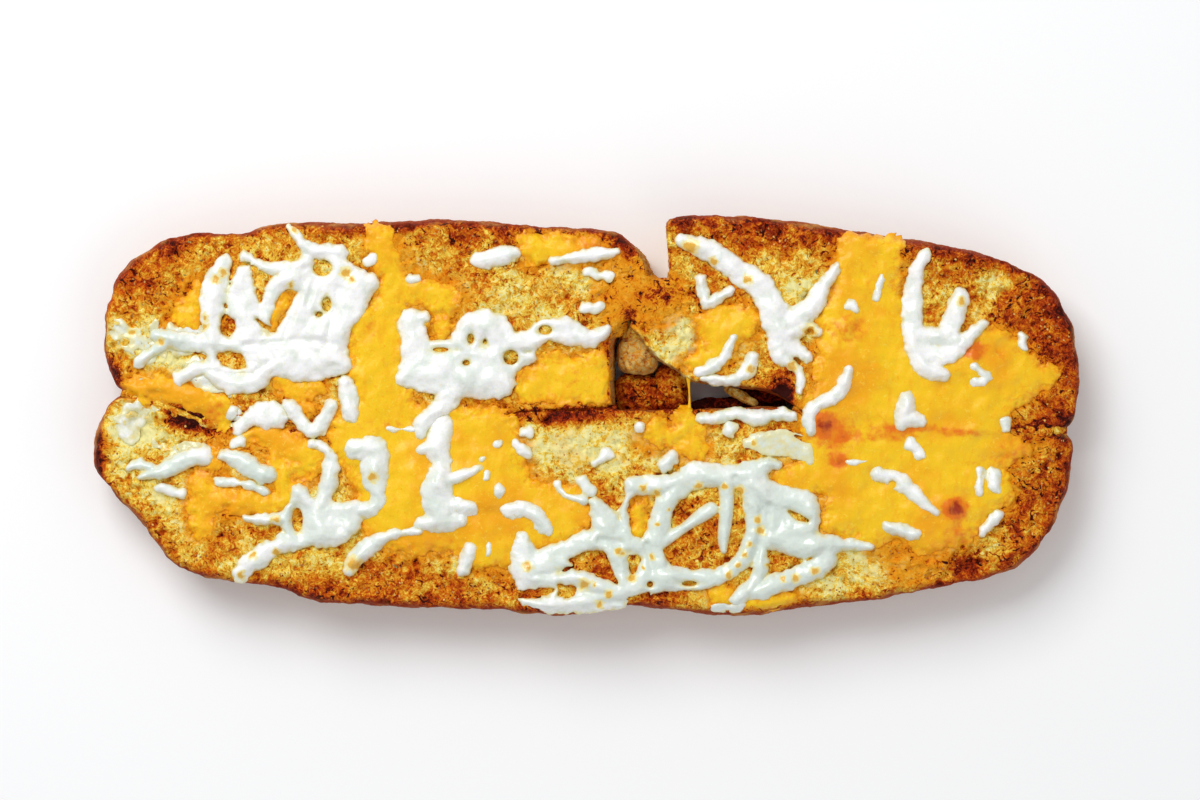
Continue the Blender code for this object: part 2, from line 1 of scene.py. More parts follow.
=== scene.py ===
import math

import bpy
import numpy as np
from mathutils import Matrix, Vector, noise
from mathutils.bvhtree import BVHTree


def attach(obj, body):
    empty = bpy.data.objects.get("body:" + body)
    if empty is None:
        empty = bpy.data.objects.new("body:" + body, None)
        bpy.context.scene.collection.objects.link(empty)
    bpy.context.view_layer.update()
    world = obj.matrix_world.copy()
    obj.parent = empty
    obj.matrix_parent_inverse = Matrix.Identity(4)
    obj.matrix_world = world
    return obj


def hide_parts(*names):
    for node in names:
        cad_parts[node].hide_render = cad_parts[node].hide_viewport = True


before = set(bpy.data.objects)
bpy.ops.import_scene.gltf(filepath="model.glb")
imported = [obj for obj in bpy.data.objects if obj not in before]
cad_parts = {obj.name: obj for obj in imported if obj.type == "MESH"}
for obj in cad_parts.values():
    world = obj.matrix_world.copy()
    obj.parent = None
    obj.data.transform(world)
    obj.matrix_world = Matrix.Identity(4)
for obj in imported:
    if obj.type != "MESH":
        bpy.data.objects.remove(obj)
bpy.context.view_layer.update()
print("cheesy garlic bread: frame loaded,", len(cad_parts), "nodes")

mm = 0.001


# small helpers: colours, smooth paths, noise and maps of the whole bread seen from above

def tone(red, green, blue):
    # a colour as a paint program names it, for the shader's linear values
    linear = []
    for value in (red, green, blue):
        v = value / 255
        linear.append(v / 12.92 if v <= 0.04045 else ((v + 0.055) / 1.055) ** 2.4)
    return (*linear, 1.0)


def smoothPath(points, step, closed=False):
    # even steps along a soft curve through points of any number of values
    count = len(points)
    path = []
    for i in range(count if closed else count - 1):
        if closed:
            a, b, c, d = (points[(i + k - 1) % count] for k in range(4))
        else:
            a, b, c, d = (points[min(max(i + k - 1, 0), count - 1)] for k in range(4))
        pieces = max(1, round(math.dist(b[:2], c[:2]) / step))
        for j in range(pieces):
            t = j / pieces
            path.append([
                q + 0.5 * t * (r - p + t * (2 * p - 5 * q + 4 * r - s + t * (3 * (q - r) + s - p)))
                for p, q, r, s in zip(a, b, c, d)
            ])
    if not closed:
        path.append([float(value) for value in points[-1]])
    return np.array(path)


def ease(low, high, value):
    t = np.clip((value - low) / (high - low), 0, 1)
    return t * t * (3 - 2 * t)


def softNoise(x, y, size, seed):
    # smooth lumps of the given size, from about -1 to 1
    cells = 256
    angle = np.random.default_rng(seed).uniform(0, 2 * math.pi, (cells, cells))
    u, v = np.asarray(x) / size, np.asarray(y) / size
    i, j = np.floor(u).astype(int), np.floor(v).astype(int)
    fu, fv = u - i, v - j
    su, sv = fu * fu * (3 - 2 * fu), fv * fv * (3 - 2 * fv)

    def corner(a, b):
        turn = angle[(i + a) % cells, (j + b) % cells]
        return np.cos(turn) * (fu - a) + np.sin(turn) * (fv - b)

    front = corner(0, 0) * (1 - su) + corner(1, 0) * su
    back = corner(0, 1) * (1 - su) + corner(1, 1) * su
    return 1.6 * (front * (1 - sv) + back * sv)


def wave(x, y, setting):
    # noise from an amount, a size and a seed
    amount, size, seed = setting
    return amount * softNoise(x, y, size, seed)


mapArea = {"left": -156.0, "front": -68.0, "width": 312.0, "depth": 136.0, "pitch": 0.4}
mapX = mapArea["left"] + mapArea["pitch"] * np.arange(round(mapArea["width"] / mapArea["pitch"]) + 1)
mapY = mapArea["front"] + mapArea["pitch"] * np.arange(round(mapArea["depth"] / mapArea["pitch"]) + 1)
gridX, gridY = np.meshgrid(mapX, mapY)


def readMap(heights, x, y):
    u = np.clip((np.asarray(x) - mapArea["left"]) / mapArea["pitch"], 0, len(mapX) - 1.001)
    v = np.clip((np.asarray(y) - mapArea["front"]) / mapArea["pitch"], 0, len(mapY) - 1.001)
    i, j = u.astype(int), v.astype(int)
    fu, fv = u - i, v - j
    low = heights[j, i] * (1 - fu) + heights[j, i + 1] * fu
    high = heights[j + 1, i] * (1 - fu) + heights[j + 1, i + 1] * fu
    return low * (1 - fv) + high * fv


def window(x0, x1, y0, y1):
    # the part of the map between two x and two y
    left, front, pitch = mapArea["left"], mapArea["front"], mapArea["pitch"]
    i0, i1 = max(0, int((x0 - left) / pitch)), min(len(mapX), int((x1 - left) / pitch) + 2)
    j0, j1 = max(0, int((y0 - front) / pitch)), min(len(mapY), int((y1 - front) / pitch) + 2)
    return slice(j0, j1), slice(i0, i1)


def slideMap(heights, reach, pick):
    # the highest (or lowest) value within reach, first along X and then along Y
    steps = max(1, round(reach / mapArea["pitch"]))
    for axis in (1, 0):
        best = heights
        for k in range(1, steps + 1):
            for shift in (k, -k):
                best = pick(best, np.roll(heights, shift, axis))
        heights = best
    return heights


def blurMap(heights, reach):
    steps = np.arange(-3 * reach, 3 * reach + mapArea["pitch"], mapArea["pitch"])
    bell = np.exp(-0.5 * (steps / reach) ** 2)
    bell /= bell.sum()
    half = len(bell) // 2
    for axis in (0, 1):
        widths = [(half, half) if k == axis else (0, 0) for k in (0, 1)]
        padded = np.pad(heights, widths, mode="edge")
        length = heights.shape[axis]
        heights = sum(
            weight * np.take(padded, np.arange(k, k + length), axis) for k, weight in enumerate(bell)
        )
    return heights


def spotMap(spots):
    # soft round or oval fields: x, y, half width, half depth, amount
    total = np.zeros_like(gridX)
    for x, y, rx, ry, amount in spots:
        away = ((gridX - x) / rx) ** 2 + ((gridY - y) / ry) ** 2
        total += amount * np.exp(-away ** 1.5)
    return total


def makeMesh(name, points, faces, values=None):
    # points in millimetres; each value is one number or a number per point
    mesh = bpy.data.meshes.new(name)
    mesh.from_pydata((np.asarray(points) * mm).tolist(), [], faces)
    mesh.update()
    mesh.shade_smooth()
    for key, numbers in (values or {}).items():
        layer = mesh.attributes.new(key, "FLOAT", "POINT")
        layer.data.foreach_set("value", np.full(len(points), numbers, np.float32))
    piece = bpy.data.objects.new(name, mesh)
    bpy.context.scene.collection.objects.link(piece)
    return piece


def meshPoints(mesh):
    points = np.empty(len(mesh.vertices) * 3)
    mesh.vertices.foreach_get("co", points)
    return points.reshape(-1, 3)


# the camera looks straight down from where the photo was taken

view = {
    "photoWidth": 1200, "photoHeight": 800, "mmPerPixel": 0.3,
    "middle": (586.5, 415.5),  # the bread's middle in the photo, in pixels
    "planeHeight": 19.0, "distance": 1150.0, "sensor": 36.0, "clip": (0.05, 20),
}


def addCamera():
    data = bpy.data.cameras.new("camera")
    data.sensor_width = view["sensor"]
    fieldWidth = view["photoWidth"] * view["mmPerPixel"]
    data.lens = view["sensor"] * view["distance"] / fieldWidth
    data.clip_start, data.clip_end = view["clip"]
    camera = bpy.data.objects.new("camera", data)
    x = (view["photoWidth"] / 2 - view["middle"][0]) * view["mmPerPixel"]
    y = (view["middle"][1] - view["photoHeight"] / 2) * view["mmPerPixel"]
    camera.location = (x * mm, y * mm, (view["planeHeight"] + view["distance"]) * mm)
    bpy.context.scene.collection.objects.link(camera)
    bpy.context.scene.camera = camera


addCamera()
print("camera placed")


# node trees for the materials: short calls that add and join nodes

class Paint:
    def __init__(self, name):
        self.material = bpy.data.materials.new(name)
        self.material.use_nodes = True
        self.nodes = self.material.node_tree.nodes
        self.links = self.material.node_tree.links
        self.shader = self.nodes["Principled BSDF"]
        self.place = self.add("ShaderNodeTexCoord").outputs["Object"]

    def add(self, kind, **settings):
        node = self.nodes.new(kind)
        for key, value in settings.items():
            setattr(node, key, value)
        return node

    def put(self, socket, value):
        if hasattr(value, "links"):
            self.links.new(value, socket)
        else:
            socket.default_value = value

    def value(self, name):
        return self.add("ShaderNodeAttribute", attribute_name=name).outputs["Fac"]

    def grain(self, size, detail=2.0, rough=0.5, stretch=(1, 1, 1), bend=0.0):
        # noise with lumps of the given size in millimetres, drawn out into curls by bend
        mapping = self.add("ShaderNodeMapping")
        self.put(mapping.inputs["Vector"], self.place)
        mapping.inputs["Scale"].default_value = stretch
        node = self.add("ShaderNodeTexNoise")
        self.put(node.inputs["Vector"], mapping.outputs["Vector"])
        self.put(node.inputs["Scale"], 1000 / size)
        self.put(node.inputs["Detail"], detail)
        self.put(node.inputs["Roughness"], rough)
        self.put(node.inputs["Distortion"], bend)
        return node.outputs["Fac"]

    def cells(self, size, feature="F1", bend=0.0):
        # bubbles of the given size in millimetres, with bent walls
        node = self.add("ShaderNodeTexVoronoi", feature=feature)
        place = self.place
        if bend:
            push = self.add("ShaderNodeTexNoise")
            self.put(push.inputs["Vector"], self.place)
            self.put(push.inputs["Scale"], 1000 / (size * 1.3))
            scaled = self.add("ShaderNodeVectorMath", operation="SCALE")
            self.put(scaled.inputs[0], push.outputs["Color"])
            self.put(scaled.inputs["Scale"], bend * size * mm)
            moved = self.add("ShaderNodeVectorMath", operation="ADD")
            self.put(moved.inputs[0], self.place)
            self.put(moved.inputs[1], scaled.outputs[0])
            place = moved.outputs[0]
        self.put(node.inputs["Vector"], place)
        self.put(node.inputs["Scale"], 1000 / size)
        return node.outputs["Distance"]

    def sum(self, a, b, operation="ADD"):
        node = self.add("ShaderNodeMath", operation=operation)
        self.put(node.inputs[0], a)
        self.put(node.inputs[1], b)
        return node.outputs[0]

    def times(self, a, b):
        return self.sum(a, b, "MULTIPLY")

    def varied(self, value, amount, layer):
        # the value with a grain around its middle added
        return self.sum(value, self.times(self.sum(layer, 0.5, "SUBTRACT"), amount))

    def span(self, value, low, high, out=(0.0, 1.0)):
        node = self.add("ShaderNodeMapRange", interpolation_type="SMOOTHSTEP")
        self.put(node.inputs["Value"], value)
        for key, number in zip(("From Min", "From Max", "To Min", "To Max"), (low, high, *out)):
            self.put(node.inputs[key], number)
        return node.outputs["Result"]

    def ramp(self, value, stops):
        node = self.add("ShaderNodeValToRGB")
        self.put(node.inputs["Fac"], value)
        ramp = node.color_ramp
        while len(ramp.elements) < len(stops):
            ramp.elements.new(0.5)
        for element, (position, colour) in zip(ramp.elements, stops):
            element.position = position
            element.color = colour
        return node.outputs["Color"]

    def mix(self, share, a, b, blend="MIX"):
        node = self.add("ShaderNodeMix", data_type="RGBA", blend_type=blend)
        self.put(node.inputs["Factor"], share)
        self.put(node.inputs[6], a)
        self.put(node.inputs[7], b)
        return node.outputs[2]

    def tint(self, colour, *layers):
        # lays colours over the first, each as its value goes from low to high, up to a share
        for over, value, low, high, most in layers:
            colour = self.mix(self.span(value, low, high, (0.0, most)), colour, over)
        return colour

    def bump(self, height, depth, strength):
        node = self.add("ShaderNodeBump")
        self.put(node.inputs["Height"], height)
        self.put(node.inputs["Distance"], depth * mm)
        self.put(node.inputs["Strength"], strength)
        self.put(self.shader.inputs["Normal"], node.outputs["Normal"])

    def finish(self, colour, roughness, **settings):
        self.put(self.shader.inputs["Base Color"], colour)
        self.put(self.shader.inputs["Roughness"], roughness)
        for key, value in settings.items():
            self.shader.inputs[key.replace("_", " ")].default_value = value
        return self.material


breadTones = {
    "pale": tone(255, 245, 170), "butter": tone(255, 224, 84), "gold": tone(230, 146, 22),
    "toast": tone(202, 82, 10), "brown": tone(142, 36, 6), "char": tone(56, 10, 4),
    "crustRim": tone(158, 52, 16), "crustSide": tone(200, 118, 42), "crustBase": tone(180, 108, 46),
    "crustLight": tone(224, 162, 78), "torn": tone(226, 190, 112), "stain": tone(246, 160, 20),
    "warm": tone(255, 204, 120),
}


def breadMaterial():
    paint = Paint("toastedBread")
    c = breadTones
    curls, shreds = paint.grain(2.0, 5.0, 0.68, bend=1.6), paint.grain(0.9, 3.0, 0.6, bend=2.0)
    patch = paint.grain(7.0, 5.0, 0.62, bend=0.5)
    pores = paint.span(paint.grain(3.6, 4.0, 0.56, bend=2.4), 0.41, 0.35)
    walls = paint.span(paint.cells(2.2, "DISTANCE_TO_EDGE", 0.9), 0.14, 0.0)
    # how far the crumb is toasted: the piece's own value and three sizes of grain; the pores and pits add
    # darker colour as painted shade in these hollows
    toast = paint.value("toast")
    poreShade = paint.span(toast, 0.05, 0.6, (0.16, 0.6))
    for layer, amount in ((curls, 1.6), (shreds, 0.55), (patch, 1.3)):
        toast = paint.varied(toast, amount, layer)
    toast = paint.sum(toast, paint.times(pores, poreShade))
    toast = paint.sum(toast, paint.times(paint.value("pit"), 0.3))
    cutFace = paint.ramp(toast, (
        (0.0, c["pale"]), (0.14, c["butter"]), (0.4, c["gold"]), (0.6, c["toast"]),
        (0.8, c["brown"]), (1.0, c["char"]),
    ))
    soaked = paint.span(paint.varied(paint.value("stain"), 0.9, patch), 0.3, 0.85, (0.0, 0.72))
    cutFace = paint.mix(paint.times(soaked, paint.span(toast, 0.75, 0.45)), cutFace, c["stain"])
    warm = paint.span(paint.grain(11.0, 3.0), 0.48, 0.62, (0.0, 0.3))
    cutFace = paint.mix(warm, cutFace, c["warm"], "MULTIPLY")
    crustStops = ((0.0, c["crustBase"]), (0.45, c["crustSide"]), (0.93, c["crustRim"]))
    crustColour = paint.tint(
        paint.ramp(paint.value("level"), crustStops),
        (c["brown"], paint.grain(3.0, 5.0, 0.65), 0.45, 0.72, 1.0),
        (c["crustLight"], paint.grain(9.0, 4.0, 0.6), 0.47, 0.66, 0.6),
    )
    tornFace = paint.tint(paint.mix(walls, c["torn"], c["gold"]), (c["toast"], toast, 0.45, 0.95, 1.0))
    colour = paint.mix(paint.value("side"), cutFace, crustColour)
    colour = paint.mix(paint.value("torn"), colour, tornFace)
    relief = paint.sum(paint.sum(curls, paint.times(shreds, 0.6)), paint.times(pores, -0.5))
    paint.bump(relief, 1.0, 0.75)
    return paint.finish(colour, paint.span(curls, 0.35, 0.65, (0.5, 0.85)), Specular_IOR_Level=0.12)


# light: a pale yellow for the cheese's mottling, also laid on as painted oily highlights
cheddarTones = {
    "body": tone(247, 198, 26), "deep": tone(243, 168, 16), "orange": tone(230, 116, 20),
    "brown": tone(164, 46, 14), "edge": tone(240, 158, 10), "crumb": tone(206, 104, 8),
    "light": tone(253, 220, 78),
}


def cheddarMaterial():
    paint = Paint("meltedCheddar")
    c = cheddarTones
    toast = paint.varied(paint.value("toast"), 1.0, paint.grain(2.2, 4.0, 0.6))
    thin = paint.varied(paint.value("thin"), 2.6, paint.grain(2.2, 5.0, 0.68, bend=1.2))
    # the fine specks: the light yellow ones are partly the cheese's mottling and partly painted oily
    # highlights; low values give orange specks
    specksAndGlints, flow = paint.grain(1.1, 3.0, 0.6, bend=1.0), paint.grain(2.6, 3.0, 0.55, (1, 0.28, 1))
    colour = paint.tint(
        c["body"], (c["deep"], paint.grain(16.0, 3.0), 0.4, 0.7, 1.0),
        (c["edge"], thin, 0.25, 0.85, 0.85), (c["crumb"], thin, 0.8, 1.3, 0.8),
        (c["light"], specksAndGlints, 0.58, 0.7, 0.6), (c["edge"], specksAndGlints, 0.38, 0.28, 0.7),
        (c["orange"], toast, 0.15, 0.65, 1.0), (c["brown"], toast, 0.7, 1.15, 1.0),
        (c["deep"], flow, 0.5, 0.72, 0.5),
    )
    paint.bump(paint.sum(paint.grain(2.0, 4.0, 0.6), flow), 0.4, 0.6)
    return paint.finish(
        colour, paint.span(paint.grain(3.0, 3.0), 0.3, 0.7, (0.28, 0.5)),
        Subsurface_Weight=0.12, Subsurface_Radius=(0.9, 0.35, 0.05), Subsurface_Scale=0.002,
        Coat_Weight=0.12, Coat_Roughness=0.24, Specular_IOR_Level=0.2,
    )


mozzarellaTones = {
    "thick": tone(253, 253, 252), "shade": tone(232, 238, 230), "thin": tone(226, 223, 180),
    "butter": tone(230, 208, 122), "halo": tone(244, 226, 132), "cool": tone(218, 229, 220),
    "gold": tone(230, 172, 30), "goldDark": tone(200, 116, 16),
}


def mozzarellaMaterial():
    paint = Paint("meltedMozzarella")
    c = mozzarellaTones
    cool = paint.varied(paint.value("cool"), 1.2, paint.grain(7.0, 2.0))
    thin = paint.varied(paint.value("thin"), 1.5, paint.grain(2.4, 4.0, 0.6))
    gold = paint.varied(paint.value("gold"), 0.8, paint.grain(1.4, 2.0))
    film = paint.tint(c["thin"], (c["butter"], paint.grain(3.4, 2.0, 0.5, bend=1.4), 0.45, 0.65, 0.6))
    colour = paint.tint(
        c["thick"], (c["shade"], paint.grain(4.2, 3.0), 0.4, 0.68, 1.0), (c["cool"], cool, 0.0, 1.0, 0.9),
        (film, thin, 0.3, 1.0, 1.0), (c["halo"], gold, 0.08, 0.4, 0.75), (c["gold"], gold, 0.45, 0.8, 0.9),
        (c["goldDark"], gold, 1.0, 1.4, 0.8),
    )
    relief = paint.sum(paint.grain(1.6, 3.0), paint.times(paint.grain(3.2, 2.0), 2.0))
    paint.bump(relief, 0.3, 0.5)
    return paint.finish(
        colour, paint.span(paint.grain(3.0, 2.0), 0.3, 0.7, (0.2, 0.36)),
        Subsurface_Weight=0.3, Subsurface_Radius=(1.0, 0.9, 0.7), Subsurface_Scale=0.0012,
        Coat_Weight=0.5, Coat_Roughness=0.14, Specular_IOR_Level=0.5,
    )


# the dry bits that are scattered last: two tones, size of their patches and of their relief
flakes = {
    "driedHerb": {
        "tones": (tone(96, 100, 52), tone(150, 146, 84)), "patch": 1.0, "grain": 0.5,
        "depth": 0.15, "strength": 0.6, "rough": 0.7,
    },
    "looseCrumb": {
        "tones": (tone(236, 190, 96), tone(150, 70, 22)), "patch": 4.0, "grain": 0.6,
        "depth": 0.2, "strength": 0.7, "rough": 0.75,
    },
}


def flakeMaterial(name):
    paint, look = Paint(name), flakes[name]
    first, second = look["tones"]
    colour = paint.tint(first, (second, paint.grain(look["patch"], 3.0), 0.35, 0.65, 1.0))
    paint.bump(paint.grain(look["grain"], 3.0), look["depth"], look["strength"])
    return paint.finish(colour, look["rough"])


breadLook = breadMaterial()
cheddarLook = cheddarMaterial()
mozzarellaLook = mozzarellaMaterial()
herbLook = flakeMaterial("driedHerb")
looseCrumbLook = flakeMaterial("looseCrumb")
print("materials made")


# the bread: relief of the cut face, then one ring mesh for each of the three pieces

crumb = {
    "height": 22.0, "endDrop": 4.0, "endReach": 148.0, "step": 0.62,
    "large": (1.5, 17.0), "small": (0.6, 7.5),  # the same slow relief as the solids
    "crag": (0.6, 5.5, 21), "crest": (0.55, 2.6, 22), "grit": (0.36, 1.4, 23),  # depth, size, seed
    "run": 28.0, "spineShare": 0.985,  # the cut face is laid in rings up to close beside the spine
    "warmth": 0.26, "rimHeat": 0.36, "rimNoise": (0.4, 9.0, 35), "rimReach": 2.6, "tornCool": 0.75,
}
pitDesign = {
    "count": 3600, "seed": 5, "area": (148, 62), "radius": (0.6, 1.5), "depth": (0.4, 1.1),
    "lean": (0.7, 1.4), "fullDepth": 1.4, "roundness": 0.7,
}

# broad dips in the cut face, where the solids have them: x, y, radius, depth
hollows = (
    (113.5, -45.0, 5.5, 4.0), (122.5, 39.0, 6.5, 2.2), (-135.0, -5.0, 6.0, 2.0), (-112.0, -3.0, 5.0, 1.6),
    (50.0, 14.0, 4.5, 1.8), (26.0, -30.0, 6.0, 1.2), (78.0, -47.0, 9.0, 1.4), (-60.0, 30.0, 7.0, 0.8),
)

# where the cut face is toasted darker, and where it stayed pale: x, y, half sizes, amount
toastSpots = (
    (138, 26, 14, 26, 0.34), (136, -28, 15, 24, 0.32), (50, 56, 44, 8, 0.26), (112, 48, 20, 7, 0.3),
    (-130, 46, 20, 13, 0.24), (96, -44, 8, 5, 0.14), (130, 32, 12, 12, 0.08), (-36, 57, 34, 6, 0.2),
    (-111, -2.5, 7, 3.5, 0.4), (-119.5, -1.4, 8, 4, 0.5), (35, -35, 12, 10, 0.2), (0, -46, 9, 5, 0.14),
    (60, -43, 7, 4, 0.2), (-116, 34, 12, 10, 0.1), (-50, -52, 60, 6, 0.16), (-24, 43, 18, 5, 0.14),
    (-132, -34, 12, 8, 0.14), (45, 34, 12, 8, 0.14), (30, 35, 8, 6, 0.2), (-106, 33, 8, 12, 0.1),
    (16, -50, 20, 5, 0.14), (60, 11, 4, 5, 0.3), (26, 30, 4, 4, -0.28), (20, 35, 4, 4, 0.12),
    (8, 21, 2.4, 4, 0.3), (12.5, 29, 2.6, 4, 0.3), (18, 36.6, 4, 2.4, 0.3), (-142.5, 13.5, 3, 4.5, 0.4),
    (-147.6, -12, 3, 10, 0.6), (20, 34, 8, 8, 0.12), (-100, -50, 26, 4, 0.16), (58.7, 6.6, 3.5, 3.5, 0.6),
    (14, 51, 7, 5, 0.28), (100, -47, 14, 5, 0.12), (141, -2, 8, 5, 0.25), (112.6, -44.6, 6, 3, 0.45),
    (-8, -0.5, 14, 2.5, 0.4), (26, 49, 4, 8, 0.1), (120, -2, 5, 4, 0.2), (-30, 52, 13, 4, 0.17),
    (-60, -46, 12, 3, 0.08),
)
paleSpots = (
    (-135, -1, 9, 8, -0.42), (78, -48, 18, 8, -0.24), (-4, -9, 20, 8, -0.32), (-144, 25, 5, 8, -0.3),
    (-132, 22, 10, 6, -0.24), (-98, -47, 17, 6, -0.17), (-127, -31, 11, 10, -0.15), (-138, -20, 5, 8, -0.12),
    (106, -45, 7, 5, -0.18), (131, -29, 8, 10, -0.08), (-118, 44, 8, 8, -0.12), (34, -10, 16, 7, -0.12),
    (123, 40, 6, 4, -0.42), (65, 36, 7, 5, -0.24), (117, -13, 4, 3, -0.3), (-6, 42, 12, 6, -0.18),
    (28, 22, 6, 6, -0.24), (-24, 38, 14, 6, -0.08), (-127, -8, 9, 4, -0.2), (-124, 16, 8, 4, -0.28),
    (25, 50, 2.5, 9, -0.3), (22, 16.5, 7, 4, -0.4),
)
# crumb soaked orange away from the cheddar: x, y, half sizes, amount
soakedSpots = (
    (98, -45, 10, 7, 0.9), (12, 34, 10, 8, 0.9), (20, 35, 9, 8, 0.8), (-57, 45, 9, 9, 0.5),
    (-128, 8, 12, 4, 0.5), (-46, 37, 11, 6, 0.6), (134, -6, 10, 5, 0.7), (62, 46, 9, 7, 0.4),
    (-98, -20, 14, 8, 0.5), (-20, -46, 14, 5, 0.4), (-116, 30, 10, 14, 0.35), (20, -8, 14, 6, 0.4),
    (-144, -8, 4, 8, 0.5), (-140, 24, 6, 12, 0.4), (8, 44, 8, 8, 0.5),
)


def cadRelief():
    total = np.zeros_like(gridX)
    for amount, scale in (crumb["large"], crumb["small"]):
        lumps = [noise.noise(Vector((x / scale, y / scale, amount))) for y in mapY for x in mapX]
        total += amount * np.array(lumps).reshape(gridX.shape)
    for x, y, radius, depth in hollows:
        total -= depth * np.exp(-((gridX - x) ** 2 + (gridY - y) ** 2) / radius ** 2)
    return total


def pitMap():
    # burst bubbles in the crumb, each a round pit
    rng = np.random.default_rng(pitDesign["seed"])
    deep = np.zeros_like(gridX)
    smallest, largest = pitDesign["radius"]
    halfLength, halfWidth = pitDesign["area"]
    for _ in range(pitDesign["count"]):
        x, y = rng.uniform(-halfLength, halfLength), rng.uniform(-halfWidth, halfWidth)
        radius = smallest + (largest - smallest) * rng.random() ** 3
        depth = rng.uniform(*pitDesign["depth"]) * radius
        lean = rng.uniform(*pitDesign["lean"])
        margin = 1.5 * radius
        box = window(x - margin, x + margin, y - margin, y + margin)
        away = ((gridX[box] - x) * lean) ** 2 + ((gridY[box] - y) / lean) ** 2
        bowl = np.clip(1 - away / radius ** 2, 0, 1) ** pitDesign["roundness"]
        deep[box] = np.maximum(deep[box], depth * bowl)
    return deep


def ridged(setting):
    # sharp crests instead of round lumps
    amount, size, seed = setting
    return amount * (1 - 2 * np.abs(softNoise(gridX, gridY, size, seed)))


pits = pitMap()
reliefMap = cadRelief() + ridged(crumb["crag"]) + ridged(crumb["crest"]) - pits
reliefMap += wave(gridX, gridY, crumb["grit"])
zoneMap = spotMap(toastSpots) + spotMap(paleSpots)
print("crumb relief mapped")

# the crust: rings under the base as shares of the way to the spine, then its profile up to the cut
# face as inset from the outline, inset of a torn face and height; noises are amount, size and seed
crust = {
    "underside": (0.93, 0.75, 0.58), "lift": (0.12, 5.0, 41), "deepest": 0.57,
    "profile": (
        (11.5, 1.2, 0.0), (7.5, 0.6, 1.2), (4.0, 0.2, 4.2), (1.2, 0.0, 9.0), (0.0, 0.0, 14.5),
        (0.1, 0.1, 18.0), (0.7, 0.3, 20.6), (2.2, 0.9, 22.0),
    ),
    "wobble": (0.7, 6.0, 31), "grit": (0.3, 1.7, 32), "ragged": (0.7, 2.6, 33), "tatter": (0.5, 1.3, 34),
    "raggedFrom": (0.0, 0.2), "cutFrom": (21.9, 19.6), "seamTightness": 0.9, "tearLean": 1.9,
}

# outlines: x and y in millimetres, and up to 1 where the edge is torn crumb instead of crust
frontHalf = {
    "name": "frontHalf", "node": "bread_front", "seamSide": 1, "spine": ((-116, -23), (112, -29)),
    "outline": (
        (145.4, -6.9), (146, -14), (144, -24), (137, -38), (126, -47), (108, -51), (88, -55), (66, -57.5),
        (45, -60), (24, -58), (10, -57), (-7, -60), (-28, -58.3), (-56, -57.3), (-82, -55.5), (-92, -51.8),
        (-114, -48.5), (-125, -43.5), (-134, -32), (-142, -23.5), (-147.5, -16), (-148.3, -8), (-146.2, -2),
        (-143, 4), (-138.3, 6), (-129.6, 3.4), (-119.8, 0), (-110, -2.8), (-90, -3.8), (-60, -4.5),
        (-36, -1.8), (-20, 0.9), (8, 1.5), (30, 1.6), (46, 2.3), (60, 2), (73, -3.8), (87, -7.3), (100, -5.1),
        (112, -3), (122, -5.5), (131, -5.1), (140, -4.7),
    ),
}
backLeftPiece = {
    "name": "backLeftPiece", "node": "bread_back_left", "seamSide": -1, "spine": ((-112, 29), (-8, 29)),
    "outline": (
        (-137.6, 7), (-142, 10.2), (-144.5, 17), (-145, 25), (-143.6, 34), (-140, 43), (-130, 51),
        (-119, 54.5), (-104, 54.8), (-90, 57.8), (-66, 57.6), (-42, 58.7), (-18, 57.1), (-4, 56.2), (6, 55.7),
        (10.5, 53.8, 0.1), (14.6, 50.6, 0.8), (16.9, 47.6, 1), (18.2, 44.6, 1), (19.6, 41.2, 1),
        (18.3, 38, 1), (15.4, 33.7, 1), (12.6, 29.6, 1), (9.6, 25.6, 1), (7.6, 21.5, 1), (7.6, 18, 1),
        (7.2, 11, 1), (7.6, 5, 1), (7, 2.4, 0.8), (0, 1.9), (-20, 1.3), (-36, -1.3), (-60, -4), (-90, -3.3),
        (-110, -2.3), (-120, 0.5), (-129, 3.9),
    ),
}
backRightPiece = {
    "name": "backRightPiece", "node": "bread_back_right", "seamSide": -1, "spine": ((34, 32), (116, 27)),
    "outline": (
        (31, 10.2, 1), (26.5, 13.4, 1), (21, 16.7, 1), (18.2, 19.9, 1), (14.6, 24.4, 1), (12.6, 26.6, 1),
        (13.4, 29.2, 1), (16.1, 33.2, 1), (18.9, 37.5, 1), (20.8, 40.4, 1), (23.8, 41.4, 1), (24.2, 47, 1),
        (23.6, 55, 1), (24, 58.2, 0.5), (27, 59.4), (40, 60.1), (64, 58), (84, 54.6), (108, 51), (126, 46.2),
        (139, 39), (146, 27), (148, 15), (147.6, 5), (145.4, -2.8), (140, -4.2), (131, -4.6), (122, -5),
        (112, -2.5), (100, -4.6), (87, -6.8), (73, -3.3), (64, 2), (55, 6.9, 0.1), (44, 8.6, 0.5),
    ),
}


def stripFaces(across, start):
    # triangles that close a long thin ring, taken in step from both of its sides
    size = len(across)
    first, last = int(np.argmin(across)), int(np.argmax(across))
    one = [(first + k) % size for k in range((last - first) % size + 1)]
    other = [(first - k) % size for k in range((first - last) % size + 1)]
    faces, i, j = [], 0, 0
    while i < len(one) - 1 or j < len(other) - 1:
        forward = j == len(other) - 1 or (i < len(one) - 1 and across[one[i + 1]] <= across[other[j + 1]])
        step = one[i + 1] if forward else other[j + 1]
        if len({one[i], step, other[j]}) == 3:
            faces.append([start + one[i], start + step, start + other[j]])
        i, j = (i + 1, j) if forward else (i, j + 1)
    return faces


def ringFaces(around, rows):
    # the quads between neighbouring rings of points
    faces = []
    for row in range(rows - 1):
        a = np.arange(around) + row * around
        b = np.roll(np.arange(around), -1) + row * around
        faces += np.stack([a, b, b + around, a + around], 1).tolist()
    return faces


def endDrop(x):
    # how much lower the cut face lies towards the ends
    return crumb["endDrop"] * (np.abs(x) / crumb["endReach"]) ** 4


